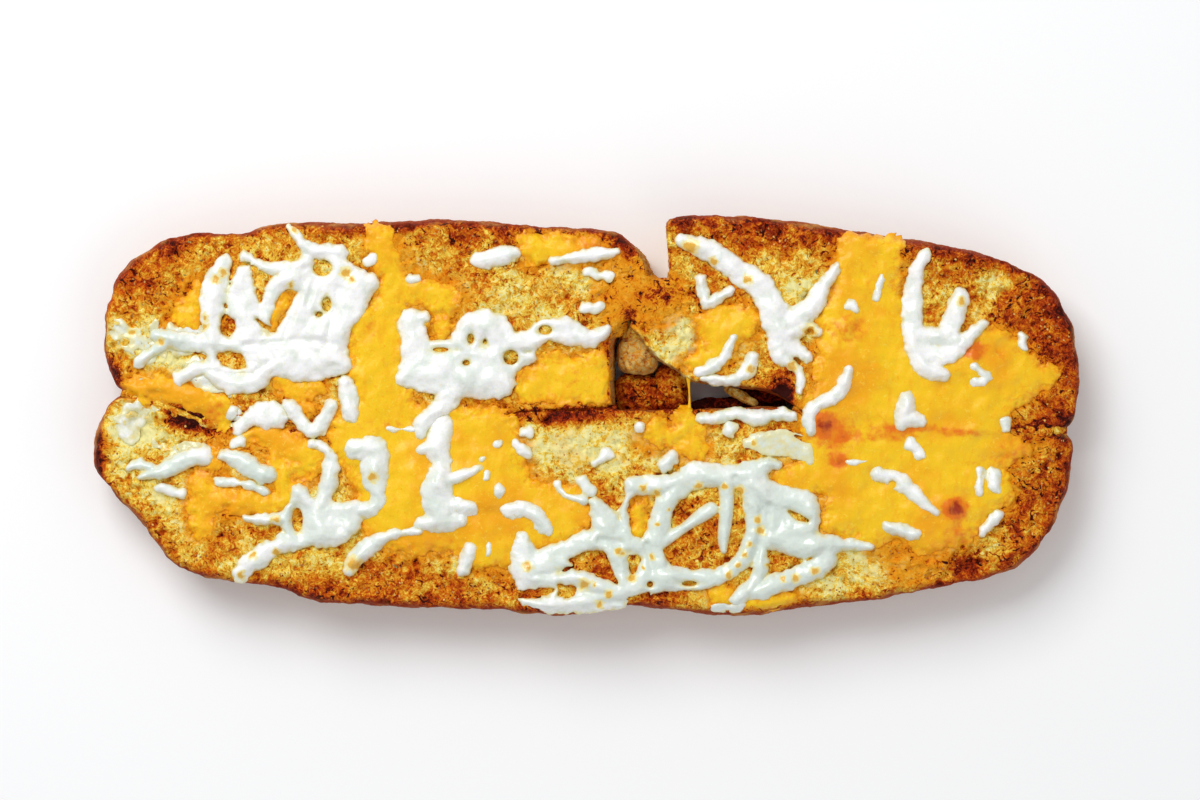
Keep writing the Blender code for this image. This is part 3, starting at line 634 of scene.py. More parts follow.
def breadPiece(design):
    step = crumb["step"]
    rim = smoothPath([(*point, 0)[:3] for point in design["outline"]], step, True)
    x, y, torn = rim[:, 0], rim[:, 1], np.clip(rim[:, 2], 0, 1)
    size, nowhere = len(x), np.zeros(len(x))
    (ax, ay), (bx, by) = design["spine"]
    along = ((x - ax) * (bx - ax) + (y - ay) * (by - ay)) / ((bx - ax) ** 2 + (by - ay) ** 2)
    along = np.clip(along, 0, 1)
    inX, inY = ax + (bx - ax) * along - x, ay + (by - ay) * along - y
    reach = np.hypot(inX, inY)
    inX, inY = inX / reach, inY / reach
    tuck = 1 - crust["seamTightness"] * np.clip(-design["seamSide"] * inY, 0, 1) ** 2 * (1 - torn)
    walk = np.cumsum(np.hypot(x - np.roll(x, 1), y - np.roll(y, 1)))
    rimHeat = crumb["rimHeat"] + wave(walk, 0.0, crumb["rimNoise"])
    rings = []
    values = {key: [] for key in ("side", "torn", "level", "pit", "toast")}

    def addRing(inset, z, side, tornShare, level):
        px, py = x + inX * inset, y + inY * inset
        px = px + crust["tearLean"] * tornShare * (1 - z / crumb["height"])
        rings.append(np.stack([px, py, z], 1))
        cooler = 1 - crumb["tornCool"] * tornShare
        warmth = crumb["warmth"] + readMap(zoneMap, px, py)
        values["side"].append(np.full(size, side))
        values["torn"].append(torn * (1 - level ** 8) if side > 0 else nowhere)
        values["level"].append(np.full(size, level))
        values["pit"].append(np.clip(readMap(pits, px, py) / pitDesign["fullDepth"], 0, 1))
        values["toast"].append(warmth + rimHeat * np.exp(-inset / crumb["rimReach"]) * cooler)

    # underside: from near the spine out to the edge of the flat base
    lift, *liftNoise = crust["lift"]
    for part in crust["underside"]:
        inset = reach * part
        bulge = softNoise(x + inX * inset, y + inY * inset, *liftNoise)
        addRing(inset, lift * (1 + bulge), 1.0, nowhere, 0.0)
    # round the crust
    for crustInset, height, tornInset in smoothPath([(p[0], p[2], p[1]) for p in crust["profile"]], step):
        share = height / crumb["height"]
        edge = wave(walk, height, crust["wobble"]) + wave(walk, height * 1.3, crust["grit"])
        ragged = np.abs(wave(walk, height, crust["ragged"])) + wave(walk, height, crust["tatter"])
        inset = crustInset * tuck * (1 - torn) + tornInset * torn
        inset = inset + share * edge * (1 - torn) + ragged * torn * ease(*crust["raggedFrom"], share)
        inset = np.minimum(inset, reach * crust["deepest"])
        px, py = x + inX * inset, y + inY * inset
        z = height - share * endDrop(px) + share ** 5 * readMap(reliefMap, px, py)
        addRing(inset, np.maximum(z, 0), float(ease(*crust["cutFrom"], height)), torn, share)
    # over the cut face to the spine
    crustInset, tornInset, height = crust["profile"][-1]
    first = crustInset * tuck * (1 - torn) + tornInset * torn
    count = round(crumb["run"] / step)
    for k in range(1, count + 1):
        inset = first + (reach * crumb["spineShare"] - first) * k / count
        px, py = x + inX * inset, y + inY * inset
        addRing(inset, height - endDrop(px) + readMap(reliefMap, px, py), 0.0, nowhere, 1.0)

    faces = [face[::-1] for face in stripFaces(rings[0][:, 0], 0)]
    faces += ringFaces(size, len(rings))
    faces += stripFaces(rings[-1][:, 0], (len(rings) - 1) * size)
    joined = {key: np.concatenate(parts) for key, parts in values.items()}
    return turnOutward(makeMesh(design["name"], np.concatenate(rings), faces, joined))


def turnOutward(piece):
    # the outlines run clockwise or not: a closed mesh with negative volume is turned round
    mesh = piece.data
    mesh.calc_loop_triangles()
    points = meshPoints(mesh)
    corners = np.empty(len(mesh.loop_triangles) * 3, int)
    mesh.loop_triangles.foreach_get("vertices", corners)
    a, b, c = (points[corners[k::3]] for k in range(3))
    if (a * np.cross(b, c)).sum() < 0:
        mesh.flip_normals()
    return piece


breadPieces = []
for design in (frontHalf, backLeftPiece, backRightPiece):
    piece = breadPiece(design)
    piece.data.materials.append(breadLook)
    breadPieces.append((piece, design))
    print("bread piece", design["name"], len(piece.data.polygons), "faces")

# what the bread's material reads, for a piece that is all crumb
plainCrumb = {"side": 0.0, "torn": 0.0, "level": 1.0, "pit": 0.0, "stain": 0.0}

# torn crumb that stands in the gap, and a crust shelf and wall low in it whose near-char toast is partly
# crust colour and partly painted shade of the gap; noises are amount, size and seed
lumpShape = {
    "around": 132, "up": 66, "poleAngle": 1.45, "squareness": 0.72, "slant": 0.7,
    "pit": (1.0, 1.7, 51), "pitPower": 1.5, "pitDepth": 1.2, "swell": (0.8, 5.0, 53), "grit": (0.28, 1.0, 52),
    "lowest": 0.05,
}
gapLumps = (
    {"name": "tornLedge", "middle": (15.6, 6.0, 6.0), "half": (7.4, 6.8, 6.2), "toast": 0.66, "torn": 0.0},
    {"name": "tornLobe", "middle": (25.6, 8.2, 6.6), "half": (5.1, 7.6, 6.4), "toast": 0.56, "torn": 0.0},
    {"name": "tornKnob", "middle": (15.5, 18.5, 11.5), "half": (6.3, 6.1, 6.0), "toast": 0.36, "torn": 0.8},
    {"name": "tornRoot", "middle": (13.6, 27.5, 9.0), "half": (4.6, 6.0, 8.6), "toast": 0.4, "torn": 0.2},
    # gapShelf and gapWall: crust ledges toasted near char, partly real crust colour and partly painted shade
    # deep in the gap
    {"name": "gapShelf", "middle": (46.0, 3.2, 4.6), "half": (14.5, 2.2, 4.3), "toast": 0.95, "torn": 0.0},
    {"name": "gapWall", "middle": (53.6, 6.2, 6.4), "half": (8.0, 2.4, 6.2), "toast": 0.9, "torn": 0.0},
    {
        "name": "gapStrip", "middle": (46.6, 5.8, 13.4), "half": (5.6, 1.4, 2.2), "toast": 0.1, "torn": 0.4,
        "turn": -30.0,
    },
)


def gapLump(design):
    around, up, pole = lumpShape["around"], lumpShape["up"], lumpShape["poleAngle"]
    turns = np.linspace(0, 2 * math.pi, around, endpoint=False)
    turn, rise = np.meshgrid(turns, np.linspace(-pole, pole, up))
    shape = np.stack([np.cos(turn) * np.cos(rise), np.sin(turn) * np.cos(rise), np.sin(rise)], -1)
    points = np.sign(shape) * np.abs(shape) ** lumpShape["squareness"] * np.array(design["half"])
    angle = math.radians(design.get("turn", 0.0))
    px = points[..., 0] * math.cos(angle) - points[..., 1] * math.sin(angle)
    py = points[..., 0] * math.sin(angle) + points[..., 1] * math.cos(angle)
    points = np.stack([px, py, points[..., 2]], -1) + np.array(design["middle"])
    slanted = lumpShape["slant"] * points[..., 2]
    u, v = points[..., 0] + slanted, points[..., 1] - slanted
    pit = np.clip(wave(u, v, lumpShape["pit"]), 0, 1) ** lumpShape["pitPower"]
    outward = wave(u, v, lumpShape["swell"]) + wave(v, u, lumpShape["grit"])
    points += shape * (outward - lumpShape["pitDepth"] * pit)[..., None]
    points[..., 2] = np.maximum(points[..., 2], lumpShape["lowest"])
    faces = [tuple(range(around))[::-1], *ringFaces(around, up), tuple(range((up - 1) * around, up * around))]
    values = {**plainCrumb, "torn": design["torn"], "pit": pit.ravel(), "toast": design["toast"]}
    piece = turnOutward(makeMesh(design["name"], points.reshape(-1, 3), faces, values))
    piece.data.materials.append(breadLook)
    return piece


lumpPieces = [gapLump(design) for design in gapLumps]
print("torn crumb in the gap made")


# the ground that the cheese lies on: the bread as seen from straight above

groundDesign = {
    "seenFrom": 60.0, "closeReach": 2.0, "fullCover": 18.0, "coverBlur": 1.2, "droop": 4.8,
    "breadAbove": 12.0, "overhang": 4.4, "blur": 0.8, "cragBelow": 1.4, "cragAbove": 0.3, "cragBlur": 0.45,
}


def groundMap():
    points, faces = [], []
    for piece, _ in breadPieces:
        mesh = piece.data
        mesh.calc_loop_triangles()
        start = len(points)
        points += [vertex.co / mm for vertex in mesh.vertices]
        faces += [[start + k for k in triangle.vertices] for triangle in mesh.loop_triangles]
    tree = BVHTree.FromPolygons(points, faces)
    down = Vector((0, 0, -1))
    heights = np.zeros_like(gridX)
    for j, y in enumerate(mapY):
        for i, x in enumerate(mapX):
            hit = tree.ray_cast(Vector((x, y, groundDesign["seenFrom"])), down)[0]
            heights[j, i] = hit.z if hit else 0.0
    return heights


def cheeseGrounds():
    # a smooth ground for the cheese, a craggy one for its thin rims, and the share covered by bread
    g = groundDesign
    closed = slideMap(slideMap(ground, g["closeReach"], np.maximum), g["closeReach"], np.minimum)
    cover = blurMap(np.clip(ground / g["fullCover"], 0, 1), g["coverBlur"])
    wide = np.where(closed > g["breadAbove"], closed, slideMap(closed, g["overhang"], np.maximum))
    smooth = blurMap(wide, g["blur"]) - g["droop"] * np.clip(0.5 - cover, 0, 0.5)
    craggy = np.clip(ground, smooth - g["cragBelow"], smooth + g["cragAbove"])
    return smooth, blurMap(craggy, g["cragBlur"]), cover


ground = groundMap()
softGround, craggedGround, coverShare = cheeseGrounds()
print("ground mapped")


# melted cheese: strands, patches and holes give one soft field, and its contour gives the mesh

def softMin(a, b, reach):
    h = np.clip(0.5 + 0.5 * (b - a) / reach, 0, 1)
    return b * (1 - h) + a * h - reach * h * (1 - h)


farAway = 9.0  # the field where no cheese is near
cheeseDesign = {
    "pathStep": 2.0, "margin": 7.0, "fullCrown": 3.5, "rimCover": 0.12, "rimSteepness": 12.0,
    "windowNoise": (0.35, 1.8, 76), "innerWeb": (0.1, 0.8), "unevenNoise": (5.5, 61),
    "groove": (0.4, 0.45, 0.9), "lumps": ((0.05, 1.7, 62), (0.28, 3.8, 63)), "lumpReach": 1.4,
    "lift": 0.12, "thinnest": 0.2, "stray": ((0.55, 1.3, 67), (0.55, 1.3, 68)),
    "gold": 1.1, "goldFall": 0.8, "slightBody": 0.7, "slightRim": 0.6, "clearing": 1.1, "sliver": 0.04,
}
crumbPatch = {"toast": 0.3, "rimToast": 0.2, "stain": 0.95}  # a sheet that looks like toasted crumb


def strandField(strand):
    # distance from a tapered strand's edge, below zero inside it
    path = smoothPath(strand, cheeseDesign["pathStep"])
    margin = cheeseDesign["margin"] + path[:, 2].max() / 2
    box = window(path[:, 0].min() - margin, path[:, 0].max() + margin,
                 path[:, 1].min() - margin, path[:, 1].max() + margin)
    x, y, full = gridX[box], gridY[box], cheeseDesign["fullCrown"]
    field = np.full(x.shape, farAway)
    crown = np.zeros_like(field)
    for (ax, ay, aw), (bx, by, bw) in zip(path, path[1:]):
        t, offX, offY = fromEdge(x, y, ax, ay, bx - ax, by - ay)
        away = np.hypot(offX, offY)
        half = (aw + (bw - aw) * t) / 2
        field = np.minimum(field, away - half)
        crown = np.maximum(crown, np.clip(1 - (away / half) ** 2, 0, 1) * np.minimum(half, full) / full)
    return box, field, crown


def fromEdge(x, y, ax, ay, dx, dy):
    # the share of a straight edge where it is nearest, and the way from there
    t = np.clip(((x - ax) * dx + (y - ay) * dy) / (dx * dx + dy * dy + 1e-9), 0, 1)
    return t, x - ax - dx * t, y - ay - dy * t


def patchField(outline):
    # distance from a closed outline, below zero inside it
    path, margin = smoothPath(outline, cheeseDesign["pathStep"], True), cheeseDesign["margin"]
    box = window(path[:, 0].min() - margin, path[:, 0].max() + margin,
                 path[:, 1].min() - margin, path[:, 1].max() + margin)
    x, y = gridX[box], gridY[box]
    nearest = np.full(x.shape, np.inf)
    inside = np.zeros(x.shape, bool)
    for (ax, ay), (bx, by) in zip(path, np.roll(path, -1, 0)):
        dx, dy = bx - ax, by - ay
        _, offX, offY = fromEdge(x, y, ax, ay, dx, dy)
        nearest = np.minimum(nearest, offX ** 2 + offY ** 2)
        crosses = (ay > y) != (by > y)
        inside ^= crosses & (x < dx * (y - ay) / (dy + 1e-12 * (dy == 0)) + ax)
    return box, np.where(inside, -1, 1) * np.sqrt(nearest)


def cheeseField(design, kind):
    field = np.full_like(gridX, farAway)
    crown = np.zeros_like(gridX)

    def cut(box, depth):
        field[box] = np.maximum(field[box], -depth)

    def join(box, one, web, ridge=None):
        field[box] = softMin(field[box], one, web)
        if ridge is not None:
            crown[box] = np.maximum(crown[box], ridge)

    for strand in design.get("strands", ()):
        box, one, ridge = strandField(strand)
        join(box, one, kind["web"], ridge)
    for outline in design.get("patches", ()):
        join(*patchField(outline), kind["web"])
    field -= kind["grow"]
    for setting in kind["wobble"]:
        field += wave(gridX, gridY, setting) * (field < farAway - 1)
    for x, y, rx, ry in design.get("holes", ()):
        cut(..., (np.hypot((gridX - x) / rx, (gridY - y) / ry) - 1) * min(rx, ry))
    for slit in design.get("slits", ()):
        cut(*strandField(slit)[:2])
    for outline in design.get("windows", ()):
        box, one = patchField(outline)
        cut(box, one - wave(gridX[box], gridY[box], cheeseDesign["windowNoise"]))
    grow, web = cheeseDesign["innerWeb"]
    for strand in design.get("inner", ()):
        box, one, ridge = strandField(strand)
        join(box, one - grow, web, ridge)
    # the cheese ends at the rim of the bread
    beyond = (cheeseDesign["rimCover"] - coverShare) * cheeseDesign["rimSteepness"]
    return np.maximum(field, beyond), crown


def contourMesh(field):
    # the cells of the map below zero, cut along the zero line: points, faces and edge pairs
    inside = field < 0
    used = inside.copy()
    used[:-1] |= inside[1:]
    used[1:] |= inside[:-1]
    used[:, :-1] |= inside[:, 1:]
    used[:, 1:] |= inside[:, :-1]
    rows, columns = np.where(used.any(1))[0], np.where(used.any(0))[0]
    j0, j1 = max(rows[0] - 1, 0), min(rows[-1] + 2, len(mapY))
    i0, i1 = max(columns[0] - 1, 0), min(columns[-1] + 2, len(mapX))
    f, inside = field[j0:j1, i0:i1], inside[j0:j1, i0:i1]
    x, y = gridX[j0:j1, i0:i1], gridY[j0:j1, i0:i1]
    corner = np.full(f.shape, -1)
    corner[inside] = np.arange(inside.sum())
    points = [np.stack([x[inside], y[inside]], 1)]
    depth = [-f[inside]]
    total = int(inside.sum())
    crossings, sliver = [], cheeseDesign["sliver"]
    for rowStep, columnStep in ((0, 1), (1, 0)):
        a = (slice(0, f.shape[0] - rowStep), slice(0, f.shape[1] - columnStep))
        b = (slice(rowStep, None), slice(columnStep, None))
        cut = inside[a] != inside[b]
        share = np.clip(f[a][cut] / (f[a][cut] - f[b][cut]), sliver, 1 - sliver)
        index = np.full(cut.shape, -1)
        index[cut] = total + np.arange(cut.sum())
        total += int(cut.sum())
        points.append(np.stack([
            x[a][cut] + (x[b][cut] - x[a][cut]) * share, y[a][cut] + (y[b][cut] - y[a][cut]) * share
        ], 1))
        depth.append(np.zeros(cut.sum()))
        crossings.append(index)
    across, upward = crossings
    slots = {
        "c0": corner[:-1, :-1], "c1": corner[:-1, 1:], "c2": corner[1:, 1:], "c3": corner[1:, :-1],
        "e0": across[:-1], "e1": upward[:, 1:], "e2": across[1:], "e3": upward[:, :-1],
    }
    code = sum((slots["c%d" % k] >= 0) << k for k in range(4))
    shapes = {
        1: ("c0 e0 e3",), 2: ("c1 e1 e0",), 4: ("c2 e2 e1",), 8: ("c3 e3 e2",),
        3: ("c0 c1 e1 e3",), 6: ("c1 c2 e2 e0",), 12: ("c2 c3 e3 e1",), 9: ("c3 c0 e0 e2",),
        7: ("c0 c1 c2 e2 e3",), 14: ("c1 c2 c3 e3 e0",), 13: ("c2 c3 c0 e0 e1",),
        11: ("c3 c0 c1 e1 e2",), 15: ("c0 c1 c2 c3",), 5: ("c0 e0 e3", "c2 e2 e1"),
        10: ("c1 e1 e0", "c3 e3 e2"),
    }
    faces, walls = [], []
    for number, outlines in shapes.items():
        where = code == number
        if not where.any():
            continue
        for outline in outlines:
            names = outline.split()
            faces += np.stack([slots[name][where] for name in names], 1).tolist()
            for first, second in zip(names, names[1:]):
                if first[0] == "e" and second[0] == "e":
                    walls += np.stack([slots[first][where], slots[second][where]], 1).tolist()
    return np.concatenate(points), np.concatenate(depth), faces, walls


def plainThickness(depth, kind):
    # the thickness at a depth inside the rim: a round edge that levels out
    return kind["skin"] * np.sqrt(depth) + kind["rise"] * (1 - np.exp(-depth / kind["slope"]))


def goldValue(design, x, y):
    # spots that browned, each with a stray outline
    strayX, strayY = (wave(x, y, setting) for setting in cheeseDesign["stray"])
    gold = np.zeros(len(x))
    for spotX, spotY, radius in design.get("gold", ()):
        away = np.hypot(x - spotX + strayX, y - spotY + strayY) / radius
        gold = np.maximum(gold, cheeseDesign["gold"] * np.exp(-away ** 2 * cheeseDesign["goldFall"]))
    return gold


def cheesePiece(name, design, kind, baseMap):
    field, crown = cheeseField(design, kind)
    points, depth, faces, walls = contourMesh(field)
    x, y = points[:, 0], points[:, 1]
    body = design.get("body", 1.0)
    thick = plainThickness(depth, kind) + kind["ridge"] * readMap(crown, x, y)
    thick *= body * (1 + kind["uneven"] * softNoise(x, y, *cheeseDesign["unevenNoise"]))
    width, grooveDepth, grooveReach = cheeseDesign["groove"]
    for groove in design.get("grooves", ()):
        box, one, _ = strandField([(*point, width) for point in groove])
        away = np.full_like(gridX, farAway)
        away[box] = np.clip(one, 0, None)
        thick *= 1 - grooveDepth * np.exp(-(readMap(away, x, y) / grooveReach) ** 2)
    hug = kind["hug"] * ease(kind["hugReach"], 0.0, depth)
    base = readMap(baseMap, x, y)
    base = base + (np.minimum(readMap(craggedGround, x, y), base) - base) * hug
    lumps = sum(wave(x, y, setting) for setting in cheeseDesign["lumps"])
    lumps += readMap(blisterMap, x, y) * (kind is cheddarKind)
    top = base + cheeseDesign["lift"] + thick + lumps * np.clip(depth / cheeseDesign["lumpReach"], 0, 1)
    low = np.minimum(base - kind["sink"], top - cheeseDesign["thinnest"])
    count = len(points)
    corners = np.concatenate([np.column_stack([points, top]), np.column_stack([points, low])])
    shell = list(faces)
    shell += [[k + count for k in reversed(face)] for face in faces]
    shell += [[b, a, a + count, b + count] for a, b in walls]
    if design.get("crumbLike"):
        toast = crumbPatch["toast"] + crumbPatch["rimToast"] * np.exp(-depth) + readMap(zoneMap, x, y)
        values = {**plainCrumb, "stain": crumbPatch["stain"], "toast": toast}
    else:
        rim = np.exp(-depth / design.get("fade", kind["fade"]))
        rim *= 1 if body > cheeseDesign["slightBody"] else cheeseDesign["slightRim"]
        thin = rim + cheeseDesign["clearing"] * (1 - body) + kind.get("sheer", 0.0)
        values = {"gold": goldValue(design, x, y), "thin": thin, "cool": readMap(coolMap, x, y),
                  "toast": readMap(cheddarToastMap, x, y)}
    both = {key: np.tile(np.broadcast_to(value, count), 2) for key, value in values.items()}
    piece = makeMesh(name, corners, shell, both)
    depthMap = np.clip(-field, 0, None)
    return piece, field, np.where(field < 0, body * plainThickness(depthMap, kind), 0)


# lengths in millimetres; wobble holds amount, size and seed of the noises in the outline
cheddarKind = {
    "web": 2.0, "wobble": ((1.5, 6.5, 71), (1.2, 2.8, 72), (0.6, 1.2, 73)), "grow": 0.4, "skin": 0.1,
    "rise": 0.7, "slope": 2.8, "ridge": 0.15, "uneven": 0.3, "sink": 0.7, "fade": 2.4,
    "hug": 1.0, "hugReach": 4.0,
}
mozzarellaKind = {
    "web": 1.2, "wobble": ((0.6, 4.0, 74), (0.42, 1.7, 75)), "grow": 0.2, "skin": 0.35, "rise": 1.1,
    "slope": 1.2, "ridge": 0.85, "uneven": 0.35, "sink": 0.8, "fade": 0.9, "hug": 0.0, "hugReach": 1.0,
}
bitKind = {**mozzarellaKind, "wobble": ((0.9, 3.4, 77), (0.3, 1.6, 78)), "rise": 0.8, "ridge": 0.5}
filmKind = {
    "web": 1.0, "wobble": ((1.8, 7.0, 91), (2.1, 3.0, 92), (0.2, 1.4, 93)), "grow": 0.1, "skin": 0.1,
    "rise": 0.16, "slope": 1.0, "ridge": 0.0, "uneven": 0.5, "sink": 0.5, "fade": 0.8,
    "hug": 0.8, "hugReach": 50.0, "sheer": 0.42,
}

# where the mozzarella looks cooler: x, y, half sizes, amount
coolSpots = (
    (40, -38, 62, 28, 1.0), (-72, -28, 42, 22, 0.6), (-40, 14, 18, 10, 0.35), (-128, 22, 16, 8, 0.8),
    (-127, -15, 13, 7, 1.0), (-100, -16, 12, 6, 0.7), (58, -8, 12, 8, 1.0),
)
coolMap = spotMap(coolSpots)


# where the cheddar toasted: x, y, half width, half depth, amount
cheddarToast = (
    (110.2, -27.7, 4, 3.4, 1.1), (70.4, -2, 4, 3.4, 0.7), (75.4, -13.5, 3, 2.6, 0.6),
    (115.7, 19.5, 3.5, 3, 0.7), (-64.5, 26, 3, 3, 0.35), (136.5, -3, 6, 3, 0.8), (78, 26, 7, 6, 0.4),
    (74, -5, 10, 5, 0.3), (2, 51, 5, 4, 0.4), (90, 0, 14, 4, 0.2), (8, 19.4, 3, 3, 0.9), (-4, 10, 9, 6, 0.2),
    (112, -36, 7, 5, 0.35), (126, 20, 8, 6, 0.25), (-46, -38, 10, 4, 0.2), (-18, -34, 8, 6, 0.2),
    (80, -6.4, 10, 1.6, 0.25), (97, -3.6, 11, 1.5, 0.4), (130, -10, 8, 5, 0.3), (112, -5, 9, 1.6, 0.5),
    (-111, 1, 5, 4, 0.4), (-129, 7, 10, 5, -0.5), (-119, 31, 6, 8, -0.4), (-91, 32, 4, 6, -0.15),
    (74, -9, 6, 8, 0.24), (93, -6, 7, 2.2, 0.45), (120, -14, 8, 5, 0.2), (86, 40, 6, 8, 0.25),
    (-60, -3, 14, 4, 0.25),
)
cheddarToastMap = spotMap(cheddarToast)
# bubbles that rose in the cheddar: x, y, half sizes, height
blisters = (
    (77.8, 26, 2.6, 2.6, 1.3), (70.4, -2, 3, 3, 0.5), (110.2, -27.7, 3.4, 3, 0.5), (-60, 18, 4, 3, 0.4),
    (88, 12, 4, 3, 0.4), (104, 2, 4, 3, 0.4), (86, -26, 4, 3, 0.4), (-32, -36, 3, 3, 0.4),
)
blisterMap = spotMap(blisters)

cheddarPieces = {
    "cheddar_left_band": {
        "strands": (
            ((-138.6, 9.2, 3.6), (-133, 8.3, 5.6), (-126.5, 8, 6.6), (-119.5, 6.4, 7), (-113, 3.6, 7.2),
             (-109.6, -0.8, 7)),
        ),
        "fade": 0.4,
    },
    "cheddar_seam_wedge": {
        "strands": (((-91, 11, 4), (-87, 6.5, 6), (-83.5, 3, 4)), ((-87, 8, 5), (-80, 8.6, 4))),
    },
    "cheddar_front_left": {
        "strands": (
            ((-115, -20, 7), (-115.5, -28, 8), (-115, -33.5, 5)),
            ((-113, -26, 7), (-100, -26, 7), (-90, -25, 7), (-91, -16, 7)),
            ((-102, -6, 6), (-94, -5.5, 8), (-88, -10, 9), (-82, -14, 9), (-90, -16, 7)),
        ),
    },
    "cheddar_middle": {
        "patches": (
            ((-66, 57), (-60, 57), (-55.5, 47), (-51.5, 39.5), (-55, 31), (-54, 20), (-53.5, 11), (-50, 4),
             (-34, 2.6), (-21, -1), (-19, -12), (-13, -20.5), (-2, -22), (1, -30), (-3, -38), (-13, -39),
             (-23, -44.5), (-33, -46), (-39, -40.8), (-53, -41.2), (-65, -36), (-68.5, -29), (-69, -20),
             (-76, -11), (-77, -1), (-70, 4), (-71, 16), (-70.5, 26), (-67, 32), (-62.5, 39), (-64.6, 47)),
        ),
        "strands": (((-57, 40, 5), (-50, 37.5, 8), (-43, 35, 9)), ((-45, 35, 6), (-42.5, 25.5, 5))),
    },
    "cheddar_top_patch": {
        "patches": (((-20, 53.6), (-12, 54.6), (-3, 53.6), (5, 51), (2, 47.5), (-10, 45.6), (-19, 46.4)),),
    },
    "cheddar_tab": {
        "patches": (((-20.5, 5), (-20, 12.5), (-12, 17.8), (0, 18.2), (5.8, 17.6), (5.6, 5), (-8, 3.4)),),
    },
    "cheddar_gap_patch": {
        "patches": (
            ((33, 26.5), (37, 32), (45, 33), (51.5, 31), (51.5, 26), (46, 21.5), (41.5, 15), (36, 12.8),
             (31, 14), (29.5, 17), (35, 21)),
        ),
    },
    "cheddar_gap_drop": {
        "strands": (((29.5, -1.6, 6.5), (30.6, -9.5, 9)), ((21.5, -5, 7.5), (29.5, -6.5, 6))),
    },
    "cheddar_right": {
        "patches": (
            ((75.5, 53.6), (86, 54), (95, 52), (93.6, 44), (95.5, 33), (99, 22), (111, 20), (120, 26.5),
             (128, 24), (137, 16.5), (142, 12), (135.5, 7.5), (127, 1), (128, -6), (132.5, -10.8),
             (125, -15.5), (128.5, -23.3), (118.5, -33), (109.5, -40), (98.5, -40.2), (91, -37),
             (86.5, -39.4), (75, -35.8), (70, -33), (71, -25), (57, -22), (56.5, -16), (64, -12), (64, -1),
             (68.5, 12), (70, 30), (74, 40)),
        ),
    },
    "cheddar_edge_strip": {"strands": (((49, -56.6, 3.5), (55, -56.2, 4), (61.5, -54.6, 3.5)),)},
}

